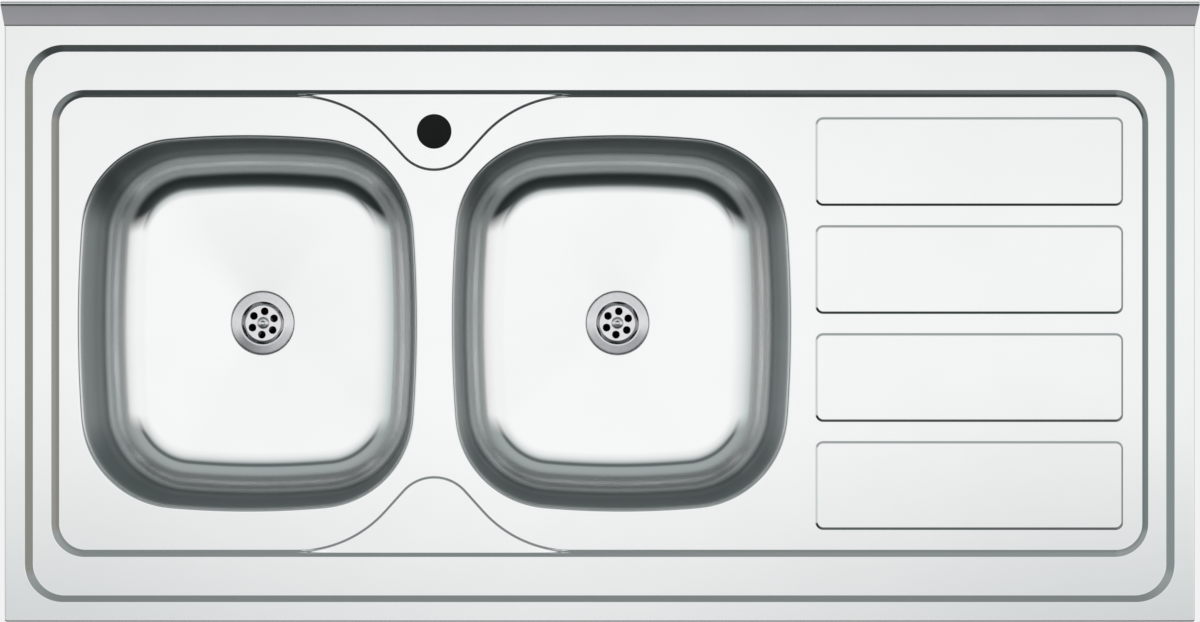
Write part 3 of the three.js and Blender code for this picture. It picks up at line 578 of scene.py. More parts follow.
@dataclass(frozen=True)
class DrawnStainless(PressedStainless):
    """The same sheet drawn to a bowl: hazier down the stretched walls, with painted shade that grows
    under the rim and where the wall is seen at a slant.
    """

    painted_shade_colour: str = "#8a9293"
    haze: float = 0.4  # roughness
    # One less the cosine of the view's angle: where the painted shade starts and where it is full.
    aslant: tuple[float, float] = (0.5, 0.72)
    # How much painted shade the sheet gets by its depth under the rim, in mm, and how hazy.
    painted_shade_depths: Curve = (
        (0, 0), (5, 0.2), (12, 0.8), (25, 1), (75, 1),
        (90, 0.85), (118, 0.8), (125, 0.7), (131, 0), (150, 0),
    )
    haziness: Curve = ((0, 0), (3, 0), (9, 1), (118, 1), (128, 0.5), (141, 0.5), (146, 0), (150, 0))

    def pattern(self, tree: Tree, place: Socket, shader: Node) -> None:
        """The sheet's own pattern, hazier down the walls, with painted shade mixed into the colour there.
        """
        super().pattern(tree, place, shader)
        level = add(tree, "SeparateXYZ", {"Vector": place}).outputs["Z"]
        view = add(tree, "LayerWeight", {"Blend": 0.5}).outputs["Facing"]
        low, high = self.aslant
        slant = add(tree, "MapRange", {"Value": view, "From Min": low, "From Max": high}).outputs[0]
        drawn = self.by_depth(tree, level, self.painted_shade_depths)
        painted_shade_share = add(tree, "Math", {0: drawn, 1: slant}, operation="MULTIPLY").outputs[0]
        hazy = self.by_depth(tree, level, self.haziness)
        base = shader.inputs["Base Color"].links[0].from_socket
        rough = shader.inputs["Roughness"].links[0].from_socket
        # Painted shade: the colour goes towards a grey by depth under the rim and by the view's slant.
        colour = add(tree, "Mix", {"Factor": painted_shade_share, 6: base, 7: linear(self.painted_shade_colour)}, data_type="RGBA")
        gloss = add(tree, "Mix", {"Factor": hazy, "A": rough, "B": self.haze}, data_type="FLOAT")
        tree.links.new(colour.outputs[2], shader.inputs["Base Color"])
        tree.links.new(gloss.outputs["Result"], shader.inputs["Roughness"])

    def by_depth(self, tree: Tree, level: Socket, curve: Curve) -> Socket:
        """Reads a curve by the depth under the bowls' rim.

        Args:
            tree: The node tree.
            level: The height in the frame.
            curve: A depth in millimetres and a value for each of the curve's points.

        Returns:
            The value at that depth.
        """
        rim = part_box("left_bowl")[1].z
        reach = curve[-1][0] * MILLIMETRE
        depth = add(tree, "MapRange", {"Value": level, "From Min": rim, "From Max": rim - reach})
        node = add(tree, "FloatCurve", {"Value": depth.outputs["Result"]})
        points = node.mapping.curves[0].points
        while len(points) < len(curve):
            points.new(0.5, 0.5)
        for point, (at, value) in zip(points, curve):
            point.location = (at * MILLIMETRE / reach, value)
            point.handle_type = "VECTOR"
        node.mapping.update()
        return node.outputs["Value"]


@dataclass(frozen=True)
class PolishedStainless(Finish):
    """304 stainless, pressed and buffed bright, with soft spots in its gloss."""

    spot: float = 5.0  # mm
    spot_depth: float = 0.004  # mm

    def pattern(self, tree: Tree, place: Socket, shader: Node) -> None:
        """Soft spots in the gloss."""
        haze = add(tree, "TexNoise", {"Vector": place, "Scale": per(self.spot), "Detail": 4.0})
        self.spread(tree, shader, haze.outputs["Fac"])
        self.bump(tree, shader, haze.outputs["Fac"], self.spot_depth)


@dataclass(frozen=True)
class GalvanisedSheet(Finish):
    """Hot-dip galvanised steel: flat zinc spangles, each with its own grey and gloss."""

    spangle: float = 7.0  # mm
    spangle_depth: float = 0.01  # mm
    grain_count: float = 9.0  # across a spangle
    grain_share: float = 0.4  # of the pattern, the rest being the spangles'

    def pattern(self, tree: Tree, place: Socket, shader: Node) -> None:
        """Spangles with thin borders, and a fine grain inside each."""
        cells = add(tree, "TexVoronoi", {"Vector": place, "Scale": per(self.spangle)}, feature="F1")
        grey = add(tree, "SeparateColor", {"Color": cells.outputs["Color"]})
        fine = self.grain_count * per(self.spangle)
        grain = add(tree, "TexNoise", {"Vector": place, "Scale": fine, "Detail": 5.0})
        sockets = {"Factor": self.grain_share, "A": grey.outputs["Red"], "B": grain.outputs["Fac"]}
        share = add(tree, "Mix", sockets, data_type="FLOAT").outputs["Result"]
        self.spread(tree, shader, share)
        self.bump(tree, shader, share, self.spangle_depth)


@dataclass(frozen=True)
class BitumenSheet(Finish):
    """Pressed bitumen damping sheet: near black, matt, with a waffle pressed in its face."""

    waffle: float = 6.0  # mm
    waffle_depth: float = 0.3  # mm
    grain: float = 0.8  # mm

    def pattern(self, tree: Tree, place: Socket, shader: Node) -> None:
        """A square waffle over a grainy face."""
        parts = add(tree, "SeparateXYZ", {"Vector": place})
        waves = []
        for axis in ("X", "Y"):
            turn = {0: parts.outputs[axis], 1: math.tau * per(self.waffle)}
            phase = add(tree, "Math", turn, operation="MULTIPLY").outputs[0]
            wave = add(tree, "Math", {0: phase}, operation="SINE").outputs[0]
            waves.append(add(tree, "Math", {0: wave}, operation="ABSOLUTE").outputs[0])
        cells = add(tree, "Math", {0: waves[0], 1: waves[1]}, operation="MINIMUM").outputs[0]
        grain = add(tree, "TexNoise", {"Vector": place, "Scale": per(self.grain), "Detail": 3.0})
        height = add(tree, "Math", {0: cells, 1: grain.outputs["Fac"]}, operation="ADD")
        self.spread(tree, shader, grain.outputs["Fac"])
        self.bump(tree, shader, height.outputs[0], self.waffle_depth)


@dataclass(frozen=True)
class MouldedRubber(Finish):
    """Moulded nitrile rubber: black with a dry bloom and a fine tool grain."""

    grain: float = 0.5  # mm
    grain_depth: float = 0.05  # mm

    def pattern(self, tree: Tree, place: Socket, shader: Node) -> None:
        """Grain in the bump and a paler bloom in the colour."""
        grain = add(tree, "TexNoise", {"Vector": place, "Scale": per(self.grain), "Detail": 4.0})
        self.spread(tree, shader, grain.outputs["Fac"])
        self.bump(tree, shader, grain.outputs["Fac"], self.grain_depth)


@dataclass(frozen=True)
class MouldedPlastic(Finish):
    """Injection moulded polypropylene: waxy off-white, a spark-eroded grain, slight flow marks."""

    grain: float = 0.6  # mm
    grain_depth: float = 0.02  # mm
    flow: float = 18.0  # mm

    def pattern(self, tree: Tree, place: Socket, shader: Node) -> None:
        """Flow marks in the colour, grain in the bump."""
        flow, grain = (
            add(tree, "TexNoise", {"Vector": place, "Scale": per(size), "Detail": 2.0}).outputs["Fac"]
            for size in (self.flow, self.grain)
        )
        self.spread(tree, shader, grain, flow)
        self.bump(tree, shader, grain, self.grain_depth)


@dataclass(frozen=True)
class TurnedBrass(Finish):
    """Free-cutting brass off the lathe: bright, with fine tool rings and a darker tarnish."""

    ring: float = 0.4  # mm
    ring_depth: float = 0.01  # mm
    tarnish: float = 3.0  # mm

    def pattern(self, tree: Tree, place: Socket, shader: Node) -> None:
        """Rings stacked along Z, and tarnish in patches."""
        sockets = {"Vector": place, "Scale": per(self.ring) / math.tau}
        rings = add(tree, "TexWave", sockets, wave_type="BANDS", bands_direction="Z")
        patches = add(tree, "TexNoise", {"Vector": place, "Scale": per(self.tarnish), "Detail": 3.0})
        self.spread(tree, shader, patches.outputs["Fac"])
        self.bump(tree, shader, rings.outputs["Fac"], self.ring_depth)


SATIN_STEEL = PressedStainless("satin_stainless", Slot.SATIN, "#fafbfb", "#f5f6f6", (0.07, 0.11), 1.0)
# The bowls' steel carries painted shade down its walls.
DRAWN_STEEL = DrawnStainless("drawn_stainless", Slot.SATIN, "#fafbfb", "#f5f6f6", (0.07, 0.11), 1.0)
BUFFED_STEEL = PolishedStainless(
    "buffed_stainless", Slot.POLISHED, "#ebeaec", "#e0dfe2", (0.1, 0.2), 1.0
)
ZINC = GalvanisedSheet("zinc_spangle", Slot.GALVANISED, "#a8adb0", "#c3c7c9", (0.34, 0.55), 1.0)
BITUMEN = BitumenSheet("bitumen_waffle", Slot.BITUMEN, "#2c2d2f", "#3b3c3f", (0.75, 0.95), 0.0, 1.6)
RUBBER = MouldedRubber("nitrile_rubber", Slot.RUBBER, "#1d1d1e", "#2b2b2c", (0.6, 0.8), 0.0, 1.52)
PLASTIC = MouldedPlastic("polypropylene", Slot.PLASTIC, "#e6e6e1", "#dcdcd5", (0.38, 0.5), 0.0, 1.49)
BRASS = TurnedBrass("turned_brass", Slot.BRASS, "#cfa955", "#a98540", (0.22, 0.4), 1.0)


class Workshop:
    """Brings finished meshes into the scene: place, material, node and body."""

    def __init__(self, top_width: float, top_depth: float, skirt: float) -> None:
        """Finds the drawing's origin in the frame.

        Args:
            top_width: The pressed top's width in millimetres.
            top_depth: Its depth without the upstand.
            skirt: The height of its skirt.
        """
        low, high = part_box("sink_top")
        middle = (low.x + high.x) / 2
        origin = Vector((middle, low.y + top_depth / 2 * MILLIMETRE, low.z + skirt * MILLIMETRE))
        if abs((high.x - low.x) / MILLIMETRE - top_width) > 0.5:
            raise ValueError("the frame's top has another width than the drawing")
        self.to_frame = Matrix.Translation(origin) @ Matrix.Scale(MILLIMETRE, 4)
        self.materials: dict[str, bpy.types.Material] = {}

    def corners(self, node: str) -> tuple[Vector, Vector]:
        """Finds where a node of the frame lies in the drawing.

        Args:
            node: The node's name.

        Returns:
            Its lowest and its highest corner.
        """
        back = self.to_frame.inverted()
        low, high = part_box(node)
        return back @ low, back @ high

    def levels(self, node: str) -> tuple[float, float]:
        """A node's lowest and highest levels in the drawing."""
        low, high = self.corners(node)
        return low.z, high.z

    def material(self, finish: Finish) -> bpy.types.Material:
        """Makes a finish's material when it is first asked for.

        Args:
            finish: The finish.

        Returns:
            Its material.
        """
        if finish.name not in self.materials:
            self.materials[finish.name] = finish.build()
        return self.materials[finish.name]

    def deliver(
        self, name: str, sheet: Sheet, finish: Finish, node: str, at: Vector = Vector()
    ) -> None:
        """Makes a piece of a drawing and lets it stand for a node of the frame.

        Args:
            name: The piece's name.
            sheet: The drawing in millimetres, whose mesh is freed here.
            finish: Its finish.
            node: The node that the piece stands for.
            at: The place of the drawing's own origin in the sink's.
        """
        sheet.mesh.transform(self.to_frame @ Matrix.Translation(at))
        piece = stand(name, sheet.mesh, self.material(finish))
        polygons = piece.data.polygons
        polygons.foreach_set("use_smooth", [True] * len(polygons))
        piece.data.set_sharp_from_angle(angle=SHARP_ANGLE)
        # The larger of two faces leads the shading, so that flats shade flat up to their bends.
        piece.modifiers.new("shading", "WEIGHTED_NORMAL").keep_sharp = True
        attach(piece, BODY)
        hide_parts(node)
        log.info("%s: %d faces, for %s", name, len(polygons), node)


# ---- Pressed top -------------------------------------------------------------------------------------


@dataclass
class Station:
    """A place along the inner step: the step's top and foot there, and how much of it is ledge."""

    top: Vector
    foot: Vector
    ledge: float = 0.0
    in_bell: bool = False

    @property
    def rear(self) -> bool:
        """Whether it lies in the top's rear half."""
        return self.foot.y > 0

    def mirrored(self) -> "Station":
        """The same place, mirrored from rear to front."""
        flip = Vector((1, -1, 1))
        return Station(self.top * flip, self.foot * flip, self.ledge, self.in_bell)


@dataclass
class PressedTop:
    """The pressed top: border, two steps, tap ledge, bells, drainer panels, skirt and upstand."""

    width: float = 1196.0
    depth: float = 600.0
    sheet: float = 0.8
    edge_radius: float = 1.6
    corner_radius: float = 2.5
    skirt: float = 30.0
    return_width: float = 12.0
    upstand_height: float = 20.0
    upstand_angle: float = 46.4216
    upstand_start: float = 1.4  # how far in front of the top's rear edge the upstand starts
    upstand_cove: float = 1.5
    upstand_nose: float = 2.5
    upstand_hem: float = 10.0
    border_side: float = 20.0
    border_end: float = 20.0
    outer_drop: float = 6.0
    outer_side: float = 8.3
    outer_end: float = 6.6
    outer_radius: float = 39.0
    plateau_side: float = 17.1
    plateau_end: float = 38.2
    inner_drop: float = 6.0
    inner_left: float = 8.3
    inner_right: float = 5.8
    inner_end: float = 7.3
    inner_radius: float = 34.0
    ledge_drop: float = 3.6
    ledge_run_out: float = 30.0  # over which the ledge fades into the step
    drainer_rise: float = 1.2
    tap_hole: float = 35.0
    tap_setback: float = 37.1
    bell_back: float = 3.0
    bell_radius: float = 41.5
    bell_sweep: float = 48.0
    bell_flare: float = 120.0
    bell_ramp: float = 2.8
    panel_count: int = 4
    panel_gap: float = 19.1
    panel_margin: float = 19.7
    panel_end_margin: float = 18.6
    panel_start: float = 22.8
    panel_radius: float = 8.0
    panel_ramp: float = 2.7
    panel_height: float = 1.2
    bowl_width: float = 345.2
    bowl_margin: float = 16.2
    bowl_spacing: float = 32.4
    bend: float = 0.9  # radius of the press tool's edges
    # Flat strips beside the bends, so that the flats shade flat: at the border in mm, and as shares of
    # the upstand's slope, of the steps' widths, of the inner step's at its foot and of the panels' ramps.
    border_guard: float = 0.5
    upstand_guard: float = 0.04
    step_guard: float = 0.05
    work_guard: float = 0.04
    panel_guard: float = 0.1
    # How many straight pieces the round stretches have.
    bend_chords: int = 4
    corner_chords: int = 20
    cove_chords: int = 6
    nose_chords: int = 10
    flare_chords: int = 16
    bell_chords: int = 32
    ledge_chords: int = 24
    panel_chords: int = 10
    hole_chords: int = 64
    drawing: Sheet = field(default_factory=Sheet)

    def __post_init__(self) -> None:
        """Works out the levels and the places of the bowls, the tap and the crease."""
        self.outline = Box(-self.width / 2, self.width / 2, -self.depth / 2, self.depth / 2)
        self.outer_top = self.outline.inside(self.border_side, self.border_side, self.border_end)
        self.outer_foot = self.outer_top.inside(self.outer_side, self.outer_side, self.outer_end)
        self.inner_top = self.outer_foot.inside(self.plateau_side, self.plateau_side, self.plateau_end)
        self.inner_foot = self.inner_top.inside(self.inner_left, self.inner_right, self.inner_end)
        self.plateau_z = -self.outer_drop
        self.ledge_z = self.plateau_z - self.ledge_drop
        self.deck_z = self.plateau_z - self.inner_drop
        self.left_bowl_x = self.inner_foot.left + self.bowl_margin + self.bowl_width / 2
        self.right_bowl_x = self.left_bowl_x + self.bowl_width + self.bowl_spacing
        self.crease_x = self.right_bowl_x + self.bowl_width / 2 + self.panel_start / 2
        self.slope = self.drainer_rise / (self.inner_foot.right - self.crease_x)
        self.tap_x = (self.left_bowl_x + self.right_bowl_x) / 2
        self.ledge_y = self.inner_foot.rear + self.bell_ramp
        self.tap_y = self.ledge_y - self.tap_setback
        self.bell_y = self.tap_y + self.bell_back

    def deck_level(self, point: Vector) -> float:
        """The work surface's height: level by the bowls, rising along the drainer."""
        return self.deck_z + self.slope * max(0.0, point.x - self.crease_x)

    def skirt_path(self, inset: float) -> Path:
        """Draws the folded edge's outline, open at the rear.

        Args:
            inset: How far it lies inside the top's edge.

        Returns:
            The points from the left rear end round the front.
        """
        radius = max(self.corner_radius - inset, self.corner_radius / 10)
        box = self.outline.inside(inset, inset, inset)
        corners = corner_arcs(box, radius, self.bend_chords)
        rear = self.outline.rear - self.upstand_start
        return [Vector((box.left, rear, 0)), *corners[2], *corners[3], Vector((box.right, rear, 0))]

    def fold_skirt(self, border: Row) -> None:
        """Folds the skirt down from the border on three sides, and its return inwards.

        Args:
            border: The border's outer row.
        """
        quarter = [math.radians(90 * i / self.bend_chords) for i in range(self.bend_chords + 1)]
        bend, foot = self.edge_radius, self.edge_radius - self.skirt
        rows = [(bend * (1 - math.sin(a)), bend * (math.cos(a) - 1)) for a in quarter]
        rows += [(bend * (1 - math.cos(a)), foot - bend * math.sin(a)) for a in quarter]
        rows.append((self.return_width, -self.skirt))
        outlines = [at_height(self.skirt_path(inset), height) for inset, height in rows]
        self.drawing.pull_all(border, outlines, closed=False)

    def fold_upstand(self, border: Row) -> None:
        """Folds the upstand up from the border's rear edge.

        Args:
            border: The border's outer row, whose ends lie at the rear.
        """
        lean = self.upstand_angle
        angle = math.radians(lean)
        bends = self.upstand_cove + self.upstand_nose
        slope = (self.upstand_height - bends * (1 - math.cos(angle))) / math.sin(angle)
        foot_y = self.depth / 2 - self.upstand_start
        nose_y = foot_y + bends * math.sin(angle) + slope * math.cos(angle)
        nose_z = self.upstand_height - self.upstand_nose
        cove = arc(foot_y, self.upstand_cove, self.upstand_cove, -90, lean - 90, self.cove_chords)
        nose = arc(nose_y, nose_z, self.upstand_nose, 90 + lean, 0, self.nose_chords)
        shares = (self.upstand_guard, 1 - self.upstand_guard)
        guards = [cove[-1].lerp(nose[0], share) for share in shares]
        hem = Vector((nose_y + self.upstand_nose, nose_z - self.upstand_hem, 0))
        rows = [
            [Vector((x, point.x, point.y)) for x in (self.outline.left, self.outline.right)]
            for point in (*cove, *guards, *nose, hem)
        ]
        self.drawing.pull_all([border[0], border[-1]], rows, closed=False)

    def press_outer_step(self) -> tuple[Row, Row]:
        """Draws the outer step.

        Returns:
            Its outermost row and its innermost.
        """
        width = (self.outer_side + self.outer_end) / 2
        profile = press_profile(width, self.outer_drop, self.bend, self.bend_chords)
        top = rounded(self.outer_top, self.outer_radius, self.corner_chords)
        foot = rounded(self.outer_foot, self.outer_radius - width, self.corner_chords)
        return self.drawing.draw(
            at_height(between(top, foot, plan), -self.outer_drop * share)
            for plan, share in held(profile, self.step_guard)
        )

    def bell_curve(self, offset: float) -> Path:
        """Draws the bell's curve: a flare, the round part about the tap hole and a flare.

        Args:
            offset: How far the curve is moved towards the tap hole.

        Returns:
            The points from right to left.
        """
        round_radius, flare = self.bell_radius - offset, self.bell_flare + offset
        turn = self.bell_sweep
        sweep = math.radians(turn)
        middle = self.ledge_y - self.bell_ramp / 2
        shoulder = self.bell_y - self.bell_radius * math.cos(sweep)
        drop = middle - shoulder - self.bell_flare * (1 - math.cos(sweep))
        run = (self.bell_radius + self.bell_flare) * math.sin(sweep) + drop / math.tan(sweep)
        flare_y = middle - self.bell_flare
        return [
            *arc(self.tap_x + run, flare_y, flare, 90, 90 + turn, self.flare_chords),
            *arc(self.tap_x, self.bell_y, round_radius, turn - 90, -turn - 90, self.bell_chords),
            *arc(self.tap_x - run, flare_y, flare, 90 - turn, 90, self.flare_chords),
        ]

    def ledge_share(self, x: float, ends: tuple[float, float]) -> float:
        """How much of the step is ledge at a place across: 0 at the bell's ends, 1 between them."""
        return smooth((x - ends[0]) / self.ledge_run_out) * smooth((ends[1] - x) / self.ledge_run_out)

    def rear_stations(self) -> list[Station]:
        """Places the rear side's stations.

        Returns:
            The stations from right to left: crease, bell end, ledge, bell, bell end.
        """
        high, low = self.bell_curve(self.bell_ramp / 2), self.bell_curve(-self.bell_ramp / 2)
        ends = (high[-1].x, high[0].x)
        step = (ends[1] - ends[0]) / self.ledge_chords
        across = [self.crease_x, *[ends[1] - step * i for i in range(self.ledge_chords)], ends[0]]
        top_y, foot_y = self.inner_top.rear, self.inner_foot.rear
        straight = [
            Station(Vector((x, top_y, 0)), Vector((x, foot_y, 0)), self.ledge_share(x, ends))
            for x in across
        ]
        bell = [Station(a, b, self.ledge_share(a.x, ends), True) for a, b in zip(high[1:-1], low[1:-1])]
        return [*straight[:-1], *bell, straight[-1]]

    def stations(self) -> list[Station]:
        """Places the inner step's stations, with both bells.

        Returns:
            The stations anticlockwise from the right rear corner.
        """
        width = (self.inner_left + self.inner_end) / 2
        tops = corner_arcs(self.inner_top, self.inner_radius, self.corner_chords)
        feet = corner_arcs(self.inner_foot, self.inner_radius - width, self.corner_chords)
        corners = [[Station(a, b) for a, b in zip(top, foot)] for top, foot in zip(tops, feet)]
        rear = self.rear_stations()
        front = [station.mirrored() for station in reversed(rear)]
        return corners[0] + rear + corners[1] + corners[2] + front + corners[3]

    def parted_profile(self, plan: float, share: float) -> tuple[Profile, Profile]:
        """Parts the plain inner step's profile where the ledge lies.

        Args:
            plan: The share of the step's width where the parts meet.
            share: The share of its drop there.

        Returns:
            The part above, which ends where they meet, and the part below, which starts past it.
        """
        count = self.bend_chords + 1
        whole = press_profile(self.inner_end, self.inner_drop, self.bend, self.bend_chords)
        start, middle, end = Vector(whole[count - 1]), Vector((plan, share)), Vector(whole[count])
        above = [tuple(start.lerp(middle, i / count)) for i in range(1, count + 1)]
        below = [tuple(middle.lerp(end, i / count)) for i in range(1, count)]
        return whole[:count] + above, below + whole[count:]

    def press_inner_step(self) -> tuple[Row, Row, list[tuple[Row, Row]]]:
        """Draws the inner step with its ledges and bells.

        Returns:
            The outermost row, the row that borders the work surface, and for each ledge the rows at its
            straight rear edge and along its bell.
        """
        drawing, stations = self.drawing, self.stations()
        plan, share = 1 - self.bell_ramp / self.inner_end, self.ledge_drop / self.inner_drop
        upper, lower = self.parted_profile(plan, share)
        ledge = press_profile(plan * self.inner_end, self.ledge_drop, self.bend, self.bend_chords)
        ledge = [(plan * a, share * b) for a, b in ledge]
        bell_drop = self.inner_drop - self.ledge_drop
        bell = press_profile(self.bell_ramp, bell_drop, self.bend, self.bend_chords)[1:]
        bell = [(plan + (1 - plan) * a, share + (1 - share) * b) for a, b in bell]

        def place(station: Station, plain: tuple[float, float], shaped: tuple[float, float]) -> Vector:
            """Places a station's vertex.

            Args:
                station: The station.
                plain: The shares of the width and of the drop in the plain step.
                shaped: The same in the ledge or bell.

            Returns:
                The vertex's place.
            """
            along, down = Vector(plain).lerp(Vector(shaped), station.ledge)
            if station.in_bell:
                along = (along - plan) / (1 - plan)
            point = station.top + (station.foot - station.top) * along
            point.z = self.plateau_z + (self.deck_level(station.foot) - self.plateau_z) * down
            return point

        outer = [s for s in stations if not s.in_bell]
        start, end = (-self.step_guard, 0), (1 + self.work_guard, 1)
        first = drawing.lay([place(s, start, start) for s in outer])
        rows = [[place(s, plain, shaped) for s in outer] for plain, shaped in zip(upper, ledge)]
        ledge_row = dict(zip(map(id, outer), drawing.pull_all(first, rows)))

        kept = [s for s in stations if s.in_bell or s.ledge == 0]
        seam = (plan, share)
        meeting = [
            drawing.mesh.verts.new(place(s, seam, seam)) if s.in_bell else ledge_row[id(s)]
            for s in kept
        ]
        pairs = zip([*lower, end], [*bell, end])
        rows = [[place(s, plain, shaped) for s in kept] for plain, shaped in pairs]
        work = drawing.pull_all(meeting, rows)

        ledges = []
        for rear in (True, False):
            straight = [ledge_row[id(s)] for s in outer if s.ledge > 0 and s.rear == rear]
            curve = [i for i, s in enumerate(kept) if s.in_bell and s.rear == rear]
            edge = [meeting[curve[0] - 1], *straight, meeting[curve[-1] + 1]]
            ledges.append((edge, [meeting[i] for i in curve]))
        return first, work, ledges

    def press_panels(self) -> list[Row]:
        """Draws the drainer's raised panels.

        Returns:
            The outermost row of each.
        """
        ramp, gap, chords = self.panel_ramp, self.panel_gap, self.panel_chords
        left = self.right_bowl_x + self.bowl_width / 2 + self.panel_start
        right = self.inner_foot.right - self.panel_end_margin
        front = self.inner_foot.front + self.panel_margin
        length = self.inner_foot.rear - self.panel_margin - front
        depth = (length - (self.panel_count - 1) * gap) / self.panel_count
        profile = press_profile(ramp, self.panel_height, self.bend, self.bend_chords)
        firsts = []
        for i in range(self.panel_count):
            start = front + i * (depth + gap)
            box = Box(left, right, start, start + depth)
            low = rounded(box, self.panel_radius, chords)
            high = rounded(box.inside(ramp, ramp, ramp), self.panel_radius - ramp, chords)
            first, last = self.drawing.draw(
                [Vector((p.x, p.y, self.deck_level(p) + self.panel_height * share))
                 for p in between(low, high, plan)]
                for plan, share in held(profile, self.panel_guard)
            )
            self.drawing.fill(last)
            firsts.append(first)
        return firsts

    def build(self, shop: Workshop, opening: Path) -> None:
        """Draws the whole top and delivers it.

        Args:
            shop: The workshop.
            opening: The outline of a bowl's flange round the bowl's own middle.
        """
        drawing = self.drawing
        border = drawing.lay(at_height(self.skirt_path(self.edge_radius + self.border_guard), 0.0))
        border[0].co.y = border[-1].co.y = border[0].co.y - self.border_guard
        self.fold_skirt(border)
        self.fold_upstand(border)
        outer_first, outer_last = self.press_outer_step()
        drawing.fill(border, outer_first)
        inner_first, work, ledges = self.press_inner_step()
        drawing.fill(outer_last, inner_first)

        hole = circle(self.tap_x, self.tap_y, self.tap_hole / 2, self.hole_chords)
        tap_hole = drawing.lay(at_height(hole, self.ledge_z))
        for (straight, bell), holes in zip(ledges, ([tap_hole], [])):
            drawing.fill(straight + bell[::-1], *holes)

        middles = (self.left_bowl_x, self.right_bowl_x)
        openings = [drawing.lay(shifted(opening, x, 0, self.deck_z)) for x in middles]
        crease = [i for i, vert in enumerate(work) if abs(vert.co.x - self.crease_x) < 0.01]
        left_part = work[crease[0] : crease[1] + 1]
        right_part = work[crease[1] :] + work[: crease[0] + 1]
        drawing.fill(left_part, *openings)
        drawing.fill(right_part, *self.press_panels())
        shop.deliver("pressed_top", drawing.thicken(self.sheet), SATIN_STEEL, "sink_top")


# ---- Bowls -------------------------------------------------------------------------------------------


